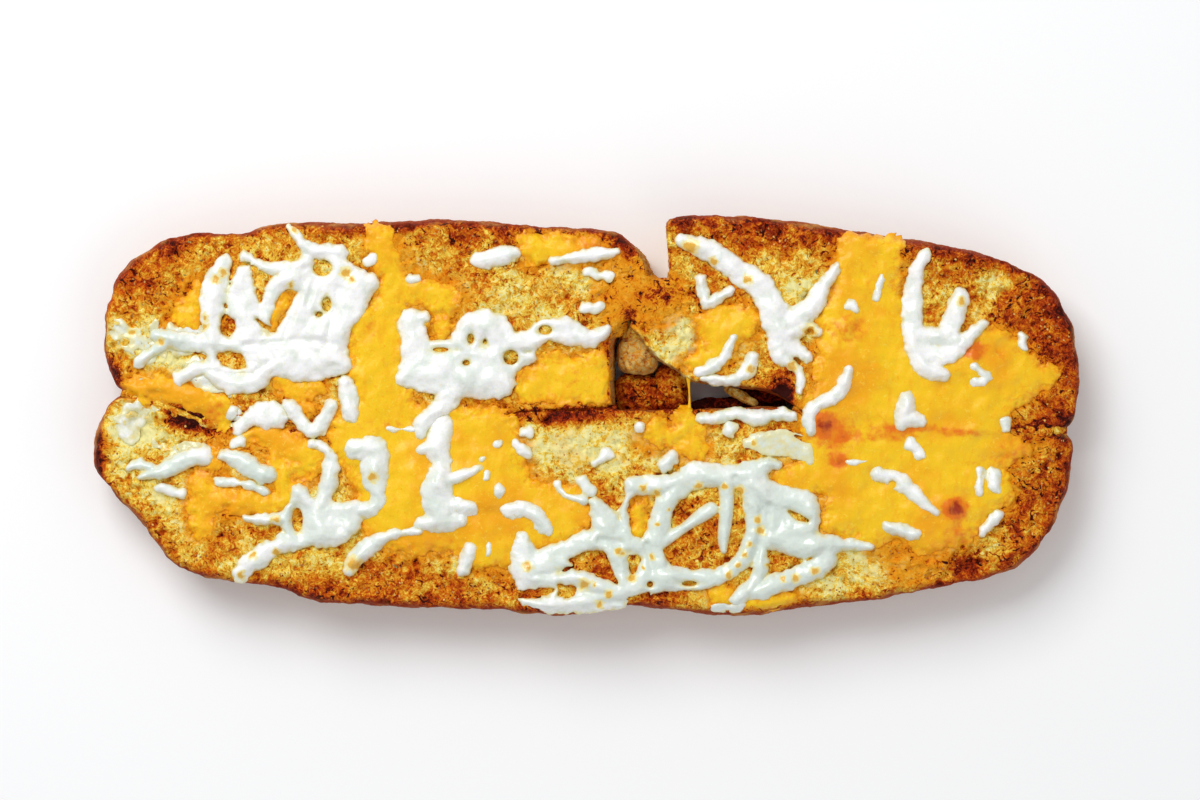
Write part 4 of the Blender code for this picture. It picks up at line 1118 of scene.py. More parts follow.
mozzarellaPieces = {
    "mozzarella_nest": {
        "strands": (
            ((-108.6, 45.6, 5), (-111.2, 39, 7.4), (-112, 31, 7), (-111.6, 22, 6)),
            ((-102.6, 43.6, 4), (-103, 37, 8.4), (-102.4, 29, 10), (-101.6, 20, 9)),
            ((-102.5, 47.6, 3), (-97, 44.6, 3.2), (-88, 44, 4), (-83.5, 46.5, 4)),
            ((-88, 41.6, 7), (-92.6, 38.6, 5.4), (-95.2, 33, 4.2), (-95.6, 27, 3.6)),
            ((-80, 40.5, 6), (-85, 32, 7), (-90, 24, 7), (-93, 18, 8)),
            ((-76, 46, 6), (-78, 35, 6), (-79.5, 25, 6.5), (-82, 17, 8)),
            ((-65.5, 39.5, 6), (-70, 32.5, 7), (-74.5, 24, 7), (-77, 17, 9)),
            ((-89.3, 56.6, 1.8), (-86, 53, 2.6), (-82.5, 49.5, 4), (-74, 48.8, 5)),
            ((-75, 46, 4), (-70, 43, 4), (-65, 39.5, 5)),
            ((-101, 19.5, 8), (-93, 18.5, 12), (-85, 17, 14), (-77, 17, 11), (-73, 15.5, 6)),
            ((-129, 24, 3), (-122, 22.6, 5.6), (-112, 21.5, 5), (-103, 20.5, 6)),
            ((-125, 22.5, 3.5), (-134, 16.2, 3.2)), ((-113, 21, 3.5), (-111.5, 14.8, 3.5)),
            ((-122, 11.2, 4), (-117, 13.8, 4), (-109, 14.6, 4), (-98, 14.6, 5)),
            ((-113, 12.8, 4), (-106, 9.6, 6), (-98.5, 10.5, 6), (-96.5, 15, 5)),
        ),
        "patches": (
            ((-88, 39.5), (-84, 44.5), (-75, 46), (-70, 43.5), (-65.5, 39.5), (-70, 32), (-73, 22),
             (-80, 20), (-90, 22), (-91, 26), (-88, 32)),
        ),
        "holes": (
            (-79, 44.2, 2.8, 2.4), (-77.7, 33.3, 1.4, 2.2), (-80, 30.3, 1.2, 0.8), (-95.8, 41, 0.9, 0.8),
        ),
        "windows": (
            ((-109.6, 27.6), (-108.4, 30.6), (-105.3, 28.2), (-105.6, 25.1), (-106.9, 23.4), (-109, 24.5)),
            ((-100.4, 45), (-98.6, 44.4), (-97.6, 40.4), (-96.2, 37.1), (-97.3, 36.5), (-99, 39.2)),
            ((-89.9, 37.6), (-86.7, 36.8), (-89.4, 31.3), (-93.1, 25.4), (-94.6, 27.3), (-93.1, 31.9),
             (-91.8, 35.5)),
            ((-110.5, 18.7), (-105, 19.1), (-102.6, 17.8), (-101.8, 14.4), (-106, 14.1), (-109, 15.4)),
        ),
        "slits": (
            ((-105.8, 43.8, 0.8), (-104, 45.4, 1), (-101, 45.4, 1)),
            ((-98.6, 28.8, 0.7), (-96.4, 26.8, 1.2), (-93.4, 25.6, 1.4)),
        ),
        "grooves": (
            ((-74, 38), (-75, 33), (-77.5, 22)), ((-107.6, 40), (-107.8, 31)), ((-86, 36), (-90, 24)),
            ((-102, 21), (-92, 22), (-82, 22.4), (-76, 21)), ((-98, 14), (-94, 17), (-97, 21)),
            ((-81, 40.6), (-83.4, 33)),
        ),
        "gold": (
            (-108.5, 43, 1), (-110.8, 40.7, 1.2), (-113.8, 29.4, 0.9), (-114, 26.6, 1), (-108.8, 41.8, 0.7),
            (-72, 42.6, 1.5), (-70.2, 40.6, 1), (-127.4, 22.2, 1), (-87.3, 55.6, 1), (-88.2, 38.8, 0.9),
        ),
    },
    "mozzarella_pool": {
        "strands": (
            ((-54.5, 11.5, 5), (-47, 14.5, 15), (-37, 13.5, 16), (-29, 12, 14), (-24.5, 9.5, 7)),
            ((-52.5, 28.5, 7), (-51, 21, 9), (-48, 14, 14)), ((-53, 27, 6), (-48.5, 29.6, 3.5)),
            ((-38, 19, 8), (-33.5, 26.5, 9), (-28.5, 27, 8), (-25, 23, 9), (-24, 16, 9)),
            ((-25, 21, 7), (-17, 22.5, 6.5), (-12, 25.5, 7), (-6, 25.3, 7.5), (0, 23.3, 6), (4, 24, 4),
             (6.3, 26, 2)),
            ((-26, 17, 8), (-16.5, 17.2, 3)),
            ((-40, 8, 8), (-43, 2.6, 5), (-46, 0.8, 5), (-49.2, -2.7, 5), (-49.6, -5.4, 4)),
        ),
        "holes": (
            (-34.6, 23, 1, 1.5), (-35.9, 15.8, 1.1, 0.8), (-43.6, 19.7, 2.4, 0.7), (-12.3, 25.6, 2, 1.4),
            (-22.6, 17.4, 2.2, 2.2), (-52.8, 7.1, 1.8, 1), (-47.7, 3.8, 1.2, 0.7),
        ),
    },
    "mozzarella_top_dash": {"strands": (((-32.4, 46.3, 4), (-27, 47.5, 6), (-21.6, 49, 4)),)},
    "mozzarella_top_thread": {"strands": (((-10, 46.3, 1.8), (-4, 47.2, 3), (2, 48, 4), (9.5, 48.8, 1.8)),)},
    "mozzarella_arch": {
        "strands": (
            ((28.5, 51.8, 4), (36, 49.7, 6.5), (46.4, 42.5, 7), (51.5, 39.5, 7.5), (54, 35.3, 8),
             (56.7, 29.2, 9), (58.2, 23, 8), (57.7, 18, 5)),
            ((75, 45, 2), (70.4, 37.5, 5), (66.6, 31.5, 6), (59, 27.5, 7)),
            ((59, 24, 5), (65, 26.4, 4.5), (69, 25, 3)), ((59, 21.5, 5), (66, 17.8, 3.6)),
            ((58, 18.5, 4), (63.6, 12.5, 2.6), (63.6, 7, 2.2)),
        ),
        "holes": ((66.7, 24.8, 1.2, 1.2),),
        "gold": ((31, 50.5, 2), (38, 46.1, 1), (48.2, 40.7, 1.3), (61.3, 14.8, 1.4), (66.7, 24.8, 2)),
    },
    "mozzarella_vee": {"strands": (((34, 41, 2.8), (35, 37, 3), (36, 33.4, 3), (42.6, 37, 3)),)},
    "mozzarella_gap_curl": {
        "strands": (((43.8, 23.4, 2), (41.3, 18, 3.4), (37, 14.4, 3.6), (33.6, 12.6, 2.4)),),
    },
    "mozzarella_gap_lip": {
        "strands": (
            ((49.4, 17.4, 4), (48, 13.6, 4.4), (45.4, 11.2, 3.6), (41.4, 10.5, 3.2), (37.4, 10.8, 2.4),
             (34.4, 11.2, 1.4)),
        ),
        "gold": ((49.2, 13.5, 1.2),),
    },
    "mozzarella_hook": {
        "strands": (
            ((101, 47.8, 3.5), (98.8, 43, 4.5), (97.7, 34.8, 6), (97.7, 24, 6), (98.8, 18.4, 6),
             (102, 14, 6), (106.4, 12, 5)),
            ((98.8, 21, 6), (103, 18.6, 6), (108.6, 18.4, 6), (112.4, 21.7, 5), (115.7, 25, 4),
             (118.6, 27.4, 3)),
            ((99, 24, 6), (105.5, 23.5, 6), (110, 22.5, 6)),
            ((112, 35.3, 5.5), (110.8, 31.5, 6), (108.4, 24.5, 6)),
        ),
        "gold": ((112.1, 34.2, 1.2),),
    },
    "mozzarella_seam_drip": {
        "strands": (
            ((78.4, 13.6, 3.2), (76.2, 8.4, 4.2), (73.2, 4.9, 4.6), (69.4, 3.2, 3.8), (66.8, 0.8, 4.2),
             (67, -4.6, 3.4)),
        ),
    },
    "mozzarella_boot": {
        "strands": (((95.6, 4.8, 5), (94.6, 0, 5), (94, -2.6, 3.5)), ((94.6, -1, 5), (100, -1.6, 4))),
    },
    "mozzarella_left_arm": {
        "strands": (
            ((-137, -15.6, 2), (-133.4, -14.6, 3.4), (-130.6, -15.4, 2.6)),
            ((-134, -18.4, 1.8), (-130, -17.4, 3.2), (-126, -16.2, 5), (-120, -13.2, 5.6),
             (-115, -11.6, 5.8)),
        ),
    },
    "mozzarella_left_bar": {
        "strands": (
            ((-108.6, -12, 3.6), (-105, -12.8, 5.2), (-101, -15, 6), (-97, -17.4, 5.6), (-94.4, -18, 4)),
        ),
        "patches": (
            ((-109, -11), (-104, -11.2), (-98, -14.4), (-93.8, -16), (-95, -20), (-100, -18.4),
             (-107.6, -14)),
        ),
    },
    "mozzarella_seam_lobe": {"strands": (((-104, -3.6, 4), (-99.5, 0.2, 5), (-95, 0.2, 9), (-92, -0.6, 5)),)},
    "mozzarella_seam_vee": {"strands": (((-89, 3, 4), (-82, -4.6, 4.5), (-76.2, 3, 4.2)),)},
    "mozzarella_seam_drop": {"strands": (((-72, 9.4, 5), (-71, 5, 6), (-70.5, 0.4, 5)),)},
    "mozzarella_slab": {
        "strands": (
            ((-86, -22.6, 4.5), (-83, -29, 9), (-79, -33, 13), (-73, -31.5, 11), (-70, -28.5, 6)),
            ((-104, -47.2, 5), (-99, -43.4, 6), (-93, -39, 6), (-85.5, -36.8, 5.5), (-78, -34, 9)),
            ((-88.6, -35, 3), (-90, -31.4, 3.2), (-88, -26.4, 3), (-85.5, -24, 4)),
            ((-102, -30.6, 2), (-96, -31, 3.4), (-89.6, -31, 3.4)),
            ((-69.5, -10, 6), (-63, -10.5, 8), (-63.6, -17.5, 8), (-62, -24, 4.5), (-64.6, -27.8, 4.5),
             (-71, -28.6, 5)),
            ((-82, -8.2, 2.6), (-77, -11, 2.6), (-76.6, -17.5, 5.5), (-79.5, -27, 4)),
        ),
        "holes": ((-86.5, -31.2, 1.6, 3.6), (-94.4, -36, 1.4, 1.4)),
        "gold": (
            (-99.5, -41.7, 1), (-103.3, -47.8, 1.1), (-93, -31.2, 1), (-92.6, -40.9, 1), (-63.8, -18.3, 1.3),
        ),
    },
    "mozzarella_middle_arm": {
        "strands": (
            ((-50, -34.6, 1.8), (-58.5, -35.5, 3), (-63.5, -38.2, 5), (-68.2, -41.7, 5), (-71.2, -46, 4)),
        ),
        "gold": ((-69.5, -44.5, 2),),
    },
    "mozzarella_tree": {
        "strands": (
            ((-42.8, -2.8, 6), (-44.4, -8.4, 8), (-43.6, -15, 6), (-44.8, -23, 10), (-43.8, -28, 9),
             (-43.5, -31.4, 7)),
            ((-49.4, -32, 4), (-43.5, -31.8, 6), (-37.6, -31.4, 4)), ((-49, -10, 3.6), (-45, -9.4, 5)),
            ((-43.5, -19.4, 4), (-38.6, -18.4, 3.6), (-32, -15.4, 2)), ((-42, -26.6, 5), (-34.8, -27.4, 4.6)),
        ),
        "holes": ((-47.2, -14.7, 1, 0.8), (-36.7, -23.5, 1.2, 0.7)),
    },
    "mozzarella_small_arch": {
        "strands": (((-23, -28.4, 5), (-18.5, -27.8, 5), (-14.4, -30.4, 5), (-12.3, -33.4, 5)),),
    },
    "mozzarella_middle_drop": {"strands": (((-35, -39.6, 4), (-36.8, -46, 4)),)},
    "mozzarella_seam_rope": {
        "strands": (
            ((34, -0.9, 3), (38.4, -0.9, 3.2), (43, 0.3, 3.4), (46.4, 0.6, 3.6), (49.6, -0.7, 5),
             (52.4, -0.6, 5.2), (55, 0.2, 3.6), (58.4, 0.4, 3.6), (61.6, -0.4, 3)),
        ),
    },
    "mozzarella_crumb_drop": {"strands": (((25.6, -12.6, 4), (23, -14.6, 4.6)),)},
    "mozzarella_veil": {
        "patches": (
            ((47.6, -7.2), (50, -5.8), (54.6, -5.1), (58.1, -4.4), (62.1, -5.2), (65.1, -6.6), (67.2, -8.6),
             (67, -12.8), (65.1, -13.9), (61.1, -12.4), (57.1, -12), (53.6, -11.8), (50, -10.1),
             (47.6, -9.1)),
        ),
        "strands": (((48, -8.2, 2), (53, -6.4, 2.6), (60, -7.6, 3), (65.6, -10.4, 3), (66.8, -13.6, 2.6)),),
        "slits": (((62.4, -6, 0.8), (64.8, -7.1, 1.5), (66.6, -7.9, 0.8)),), "gold": ((50, -8.2, 0.8),),
        "body": 0.4,
    },
    "mozzarella_net": {
        "strands": (
            ((13.6, -21, 5), (26, -20.6, 6), (33.6, -17.8, 8), (41.3, -18, 6), (49, -17.8, 8),
             (54, -14.4, 4), (57.4, -14.8, 2.4)),
            ((27.5, -21.6, 7), (22.8, -31, 8), (20.8, -37, 8), (20.8, -42, 8), (18.7, -48.6, 8)),
            ((14.4, -22, 2.6), (11, -28, 2), (13.4, -37, 3)),
            ((49, -19.6, 8), (50, -27, 6), (50, -33.5, 5), (48.5, -40, 5), (45.4, -44.7, 5),
             (41.3, -47.3, 5), (36, -48.8, 6), (28.5, -48.8, 6.5), (20, -48.3, 9)),
            ((49, -20.5, 8), (58, -26, 10), (65.5, -27.4, 9), (65.6, -32, 7), (64, -37.4, 7)),
            ((55, -25.8, 6), (54.6, -33.5, 6), (52.6, -41, 5.5), (51.5, -46, 5), (48, -52.4, 5),
             (44.6, -55.4, 3.6)),
            ((54.5, -36, 6), (63, -38.4, 8), (73, -38.6, 5), (81, -38.8, 3), (85, -39.4, 2)),
            ((72.6, -39, 6), (71.4, -44, 6), (62, -48.4, 6), (54, -51.5, 6), (49.4, -53, 4)),
            ((-19.5, -36.4, 4), (-18.2, -44, 9), (-18.4, -51.4, 5), (-18, -54.6, 4), (-9, -56.8, 4.6),
             (0, -55.4, 4.6), (9, -53.4, 5)),
            ((-19, -45.4, 8), (-10, -42.6, 8), (0, -38.8, 8), (8, -36, 8.5), (20, -38.4, 8)),
            ((2.8, -26.3, 4), (5, -31, 8), (8, -36, 9)),
            ((-18, -48.6, 6), (-10, -49.4, 4), (-2, -48.6, 5), (3.4, -51, 5), (10, -52.6, 6)),
            ((5.6, -39, 8), (9.5, -46, 7.4), (11.5, -51.4, 7), (19, -49, 8)),
        ),
        "patches": (
            ((-17.7, -55.6), (-13, -54.9), (-8.6, -51.6), (-8.4, -54.9), (-3, -55), (-2.6, -52),
             (6.5, -54.1), (11.5, -54.8), (12.2, -57.6), (6.5, -58.6), (-4.2, -59), (-13.4, -58.5)),
            ((56, -25), (62, -25.4), (68.6, -27), (68.8, -33), (65, -38), (57, -37.4)),
        ),
        "holes": ((30.8, -50.2, 2.3, 0.8), (19, -50.4, 0.9, 0.9)),
        "slits": (
            ((60.6, -28.6, 0.8), (63.4, -30.4, 2), (66, -31.4, 1)), ((13, -54.8, 0.9), (18.4, -53.4, 1.4)),
        ),
        "windows": (
            ((27.9, -25.6), (32.2, -23.8), (39.9, -22.2), (44, -27.3), (45.9, -29.8), (46.1, -35.5),
             (45.2, -40.5), (42.4, -43.6), (35.1, -45.2), (27.9, -45), (24.4, -43.4), (23.1, -40.2),
             (24.9, -36), (25.9, -29.1)),
            ((-5.4, -43.3), (-0.6, -40.9), (5, -40.2), (6.5, -43.4), (8.7, -47.7), (9.4, -50.6),
             (6.2, -48.7), (-0.6, -46.1)),
            ((-8.8, -50.5), (-2.9, -51.4), (-3.8, -54.1), (-6.7, -54.7)),
            ((-22, -52.6), (-14, -52), (-13.6, -54.2), (-17, -54.8), (-22, -54.4)),
            ((54, -40.2), (56.8, -40.5), (59.3, -42.4), (64, -43.2), (60.7, -45.5), (56.1, -47),
             (54.9, -44.1)),
            ((49.7, -45.5), (48.3, -49.1), (45, -50.9), (41.8, -52), (44, -48.7), (47.5, -45.9)),
            ((13, -27.3), (15.8, -26.3), (17.8, -29.1), (18.1, -34.1), (16.5, -36.6), (14, -35.9), (13, -32)),
        ),
        "inner": (
            ((41.8, -20, 4.8), (41.9, -26, 4.2), (41.6, -31, 4), (40.9, -36.5, 3.4), (41, -40.4, 1.8)),
            ((37.2, -28, 4.2), (34.3, -29.8, 4.2), (29.4, -33.4, 2.8), (23.6, -37, 4)),
        ),
        "grooves": (
            ((54.6, -27), (53.4, -34), (50, -43)), ((44.4, -18.6), (46.4, -27)), ((10.6, -38), (4, -37)),
            ((18, -38.6), (19.6, -46)),
        ),
        "gold": (
            (16.9, -21.8, 1), (21, -23.2, 1.2), (33.4, -21.1, 1), (41.1, -21.1, 0.8), (45.6, -22.6, 1.5),
            (45.6, -25.2, 1.3), (51.1, -30.9, 1), (52, -34.3, 1.2), (48.8, -38.4, 0.9), (47.2, -41.4, 0.8),
            (42.6, -47.7, 1), (45.4, -44.5, 0.8), (9.6, -40.5, 1), (11, -41.2, 0.9), (19.6, -42.3, 0.9),
            (13.4, -48.6, 1.3), (-0.8, -50.3, 1.4), (2.3, -50.3, 0.7), (-17.7, -45, 1.3), (68.2, -46.4, 1.1),
            (62.5, -48.5, 1.1), (58.6, -48.9, 0.8), (54, -44.8, 0.7), (21.2, -32.7, 0.7), (24.7, -28, 0.6),
            (4, -56.4, 1), (6.5, -53.4, 1), (16.9, -45.5, 0.6),
        ),
    },
    "mozzarella_right_wave": {
        "strands": (
            ((86.8, -17.3, 4), (91.2, -18.6, 5), (95.5, -21.2, 5), (100, -25, 4), (104.4, -28.8, 2.2)),
        ),
        "holes": ((91.4, -20.6, 1.1, 1.1),),
    },
    "mozzarella_right_drop": {"strands": (((89.6, -32.7, 2.4), (94.4, -34.6, 4.4), (98.5, -35.5, 3.2)),)},
    "mozzarella_end_dash": {"strands": (((123.6, -29.8, 3), (118.8, -34.6, 3)),)},
}

# bits too small to be solids of their own
mozzarellaBits = {
    "strands": (
        ((-65.6, 46.4, 3), (-64.4, 46.8, 3.4)), ((0, 43, 2.4), (6.5, 41.5, 3)),
        ((-0.5, 32.3, 3), (3.5, 32.3, 3.4)), ((-52.3, 41, 3.4), (-51.7, 41, 3.4)),
        ((88.4, 41.8, 1.6), (86.8, 34.8, 2)), ((78.2, 33.2, 2.6), (80.4, 32.2, 3)),
        ((116.5, 14.4, 2.6), (120, 10.8, 2.8), (116.4, 10, 3)), ((130.8, 20.6, 2.6), (130.8, 23.4, 3)),
        ((-105.7, -8.4, 3), (-103.3, -8.2, 3.4)), ((-127.4, -21.7, 3.4), (-121.3, -23.7, 3)),
        ((-109.6, -20, 3.4), (-101, -20.6, 2), (-95.6, -22.7, 1.8)), ((-106.4, 0.6, 3.4), (-105.6, 1.2, 3.6)),
        ((-59.5, -3.8, 1.2), (-50.3, -4.3, 1)), ((-18.4, -5, 4), (-18.2, -5, 4)),
        ((-21.2, -8.6, 3), (-17, -11.6, 2.8)), ((-26.3, -22.3, 4), (-26.2, -22.2, 4)),
        ((-31, -12.6, 2), (-30.6, -12.4, 2)), ((-26.6, -8.5, 2), (-26.2, -8.5, 2)),
        ((-29.7, -17.2, 2), (-29.7, -18.6, 2)), ((-29.3, -39.2, 2), (-29.3, -41, 2)),
        ((16, -3.3, 3), (16.2, -3.3, 3)), ((42.8, -4.5, 4), (43, -4.5, 4)),
        ((6.4, -11.4, 3.5), (2.3, -14.2, 1.4)), ((-1.3, -19.6, 4), (1.3, -22.7, 3)),
        ((-9, -20.6, 2), (-6, -23.7, 2), (-0.8, -25.3, 2)), ((97.2, -9, 4.4), (97.6, -9.2, 4.2)),
        ((99.6, -12, 3), (99.8, -12, 3)), ((117.5, -16.4, 2.6), (117.5, -22.6, 3)),
        ((122, -17.6, 4), (122, -21.4, 4)), ((125.3, -1.4, 2.2), (125.3, -4.2, 2.4)),
        ((78, -13.7, 1), (83.5, -13.7, 1)), ((45.6, -57, 3.4), (40.8, -57.8, 2.6), (37.6, -57.6, 1.8)),
    ),
}
cheddarBits = {
    "strands": (
        ((-112, -11, 4), (-112, -15, 4)), ((37.4, -52.4, 4), (41, -55, 5)), ((29.6, 0.4, 5), (29.8, -1.4, 7)),
        ((15.6, -28, 4), (15.8, -34.6, 4)),
    ),
    "patches": (
        ((-123.6, 33.4), (-119, 35.4), (-117.4, 41.6), (-115.2, 38.4), (-115, 30), (-115.6, 25.6),
         (-120.4, 26.4), (-123.4, 28.6)),
        ((-91.4, 36.8), (-87.2, 36), (-90, 31), (-93.8, 26.8), (-96.4, 28), (-93, 33)),
    ),
}
# a toasted film that bridges the tear
cheddarFilm = {
    "patches": (
        ((7, 40), (13, 42.5), (18.5, 41.5), (26, 40.5), (28, 35), (25, 29), (19, 27.5), (13.5, 28), (10, 24),
         (7, 27.5), (6, 33)),
    ),
    "body": 0.4, "crumbLike": True,
}
mozzarellaFilm = {
    "patches": (
        ((-139.6, 5), (-134, 6), (-128, 4.4), (-129, 1), (-132, -1), (-134, -5), (-138.6, -7.4), (-141, -3),
         (-141, 1.6)),
        ((-130, -7.6), (-124, -8.2), (-115.5, -9.4), (-116, -12.4), (-124, -12.6), (-131, -10.4)),
        ((-142, 29), (-137, 28), (-130, 26), (-122, 27), (-113, 25.4), (-113, 19), (-121, 18), (-127, 17),
         (-132, 15), (-136, 18), (-139.4, 21), (-142, 24.6)),
        ((-133.4, 9), (-129, 8.6), (-125, 7.4), (-128, 6.2), (-132, 7.4)),
        ((-109.6, 3.4), (-104, 3.2), (-102.6, -0.5), (-104.5, -3.6), (-108.4, -1)),
        ((-122, 10.4), (-118.4, 17), (-113, 18.4), (-109, 13.4), (-101.6, 9), (-105, 6.4), (-113, 8)),
    ),
    "holes": (
        (-138.5, 22, 1.6, 1.2), (-132, 24.6, 1.4, 1), (-134.4, 19, 1.2, 1), (-136, 0.4, 1.6, 1),
        (-131.6, 3, 1.2, 1),
    ),
    "gold": ((-125.7, -10.1, 1.3), (-127.4, 22.2, 1.2), (-136.2, 25, 1), (-122.4, 8.4, 1)), "body": 0.9,
}


def plainName(node):
    first, *rest = node.split("_")
    return first + "".join(word.capitalize() for word in rest)


tubeDesign = {"around": 14, "rough": (0.22, 2.2, 81), "wrap": 3.0}


def tubePiece(name, path, step, values):
    # a closed tube; path points hold x, y, z, half width and half height
    line = smoothPath(path, step)
    around, wrap = tubeDesign["around"], tubeDesign["wrap"]
    ahead = np.gradient(line[:, :2], axis=0)
    ahead /= np.hypot(ahead[:, 0], ahead[:, 1])[:, None] + 1e-9
    turn = np.linspace(0, 2 * math.pi, around, endpoint=False)
    side, up = np.cos(turn)[None, :], np.sin(turn)[None, :]
    rough = 1 + wave(line[:, :1] + wrap * side, line[:, 1:2] + wrap * up, tubeDesign["rough"])
    x = line[:, :1] - ahead[:, 1:2] * side * line[:, 3:4] * rough
    y = line[:, 1:2] + ahead[:, 0:1] * side * line[:, 3:4] * rough
    z = line[:, 2:3] + up * line[:, 4:5] * rough
    points = np.stack([x, y, z], -1).reshape(-1, 3)
    count = len(points)
    faces = [tuple(range(around)), *(face[::-1] for face in ringFaces(around, len(line)))]
    faces.append(tuple(range(count - around, count))[::-1])
    return turnOutward(makeMesh(name, points, faces, values))


# crumb pressed together along the seam: x, y, depth below the cut face, half width
seamCrumbs = (
    {
        "name": "seamCrumbLeft", "toast": 0.3,
        "path": (
            (-139.5, 7.4, 0.5, 1.8), (-129, 3.5, 0.2, 2.4), (-120, 0.3, 0.15, 2.6), (-110, -2.5, 0.2, 2.4),
            (-90, -3.5, 0.4, 2.0), (-60, -4.2, 0.5, 1.8), (-36, -1.6, 0.6, 1.6), (-22, 0.9, 0.9, 1.3),
        ),
    },
    {
        "name": "seamCrumbMiddle", "toast": 0.72,
        "path": ((-24, 0.6, 1.0, 1.3), (-12, 1.4, 1.2, 1.3), (0, 1.7, 1.3, 1.3), (9, 1.8, 1.6, 1.4)),
    },
    {
        "name": "seamCrumbRight", "toast": 0.42,
        "path": (
            (62, 2.6, 1.5, 1.2), (73, -3.5, 0.8, 1.5), (87, -7.1, 0.8, 1.5), (100, -4.9, 0.8, 1.5),
            (112, -2.7, 0.5, 1.8), (122, -5.2, 0.2, 2.2), (131, -4.8, 0.15, 2.4), (140, -4.5, 0.2, 2.4),
            (144.5, -4.8, 0.5, 2.0),
        ),
    },
)
seamDesign = {"halfHeight": 1.8, "step": 0.7, "stain": 0.35}
seamPieces = []
for design in seamCrumbs:
    half = seamDesign["halfHeight"]
    path = [
        (x, y, float(readMap(softGround, x, y)) - depth - half, width, half)
        for x, y, depth, width in design["path"]
    ]
    values = {**plainCrumb, "toast": design["toast"], "stain": seamDesign["stain"]}
    piece = tubePiece(design["name"], path, seamDesign["step"], values)
    piece.data.materials.append(breadLook)
    seamPieces.append(piece)

# one thread of cheddar hangs across the gap: x, y, height, half width, half height
threadDesign = {
    "path": (
        (30.5, 11.5, 20.6, 0.8, 0.5), (30.7, 8.6, 19.6, 0.42, 0.42), (30.9, 5, 19.2, 0.36, 0.36),
        (30.8, 2.4, 20.2, 0.6, 0.5), (30.4, 0.2, 21.4, 1.1, 0.6),
    ),
    "step": 0.4, "values": {"gold": 0, "toast": 0.25, "thin": 0.1},
}
threadPiece = tubePiece(
    "cheddarThread", threadDesign["path"], threadDesign["step"], threadDesign["values"]
)
threadPiece.data.materials.append(cheddarLook)

cheeseMade = []
softening = {"cheddarShare": 0.7, "blur": 0.7, "stainReach": 3.4}


def layCheese(node, design, kind, baseMap, slot, look):
    name = plainName(node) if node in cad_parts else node
    piece, field, thickness = cheesePiece(name, design, kind, baseMap)
    piece.data.materials.append(look)
    cheeseMade.append((piece, node, slot))
    return field, thickness


cheddarTop = softGround.copy()
nearCheddar = np.full_like(gridX, farAway)
for node, design in {**cheddarPieces, "cheddarBits": cheddarBits, "cheddarFilm": cheddarFilm}.items():
    slotAndLook = ("toasted_bread", breadLook) if design.get("crumbLike") else ("cheddar", cheddarLook)
    field, thickness = layCheese(node, design, cheddarKind, softGround, *slotAndLook)
    cheddarTop = np.maximum(cheddarTop, softGround + softening["cheddarShare"] * thickness)
    nearCheddar = np.minimum(nearCheddar, field)
print("cheddar laid:", len(cheddarPieces), "sheets")

mozzarellaBase = blurMap(cheddarTop, softening["blur"])
nearCheese = nearCheddar.copy()
mozzarellaLaid = [(node, design, mozzarellaKind) for node, design in mozzarellaPieces.items()]
mozzarellaLaid += [("mozzarellaBits", mozzarellaBits, bitKind), ("mozzarellaFilm", mozzarellaFilm, filmKind)]
for node, design, kind in mozzarellaLaid:
    field, _ = layCheese(node, design, kind, mozzarellaBase, "mozzarella", mozzarellaLook)
    nearCheese = np.minimum(nearCheese, field)
print("mozzarella laid:", len(mozzarellaPieces), "pieces")

# the bread near the cheddar is soaked yellow
stainMap = np.exp(-np.clip(nearCheddar, 0, None) / softening["stainReach"]) + spotMap(soakedSpots)
for piece, _ in breadPieces:
    mesh = piece.data
    points = meshPoints(mesh) / mm
    layer = mesh.attributes.new("stain", "FLOAT", "POINT")
    layer.data.foreach_set("value", readMap(stainMap, points[:, 0], points[:, 1]).astype(np.float32))

# loose toasted crumbs and flecks of herb, scattered over what lies open

scatterInputs = {
    "Geometry": "NodeSocketGeometry", "Density": "NodeSocketFloat", "Seed": "NodeSocketInt",
    "Smallest": "NodeSocketVector", "Largest": "NodeSocketVector", "Material": "NodeSocketMaterial",
}
scatterDesign = {"tilt": 0.3, "turn": 3.1, "mapStep": 4, "leastShare": 0.02}


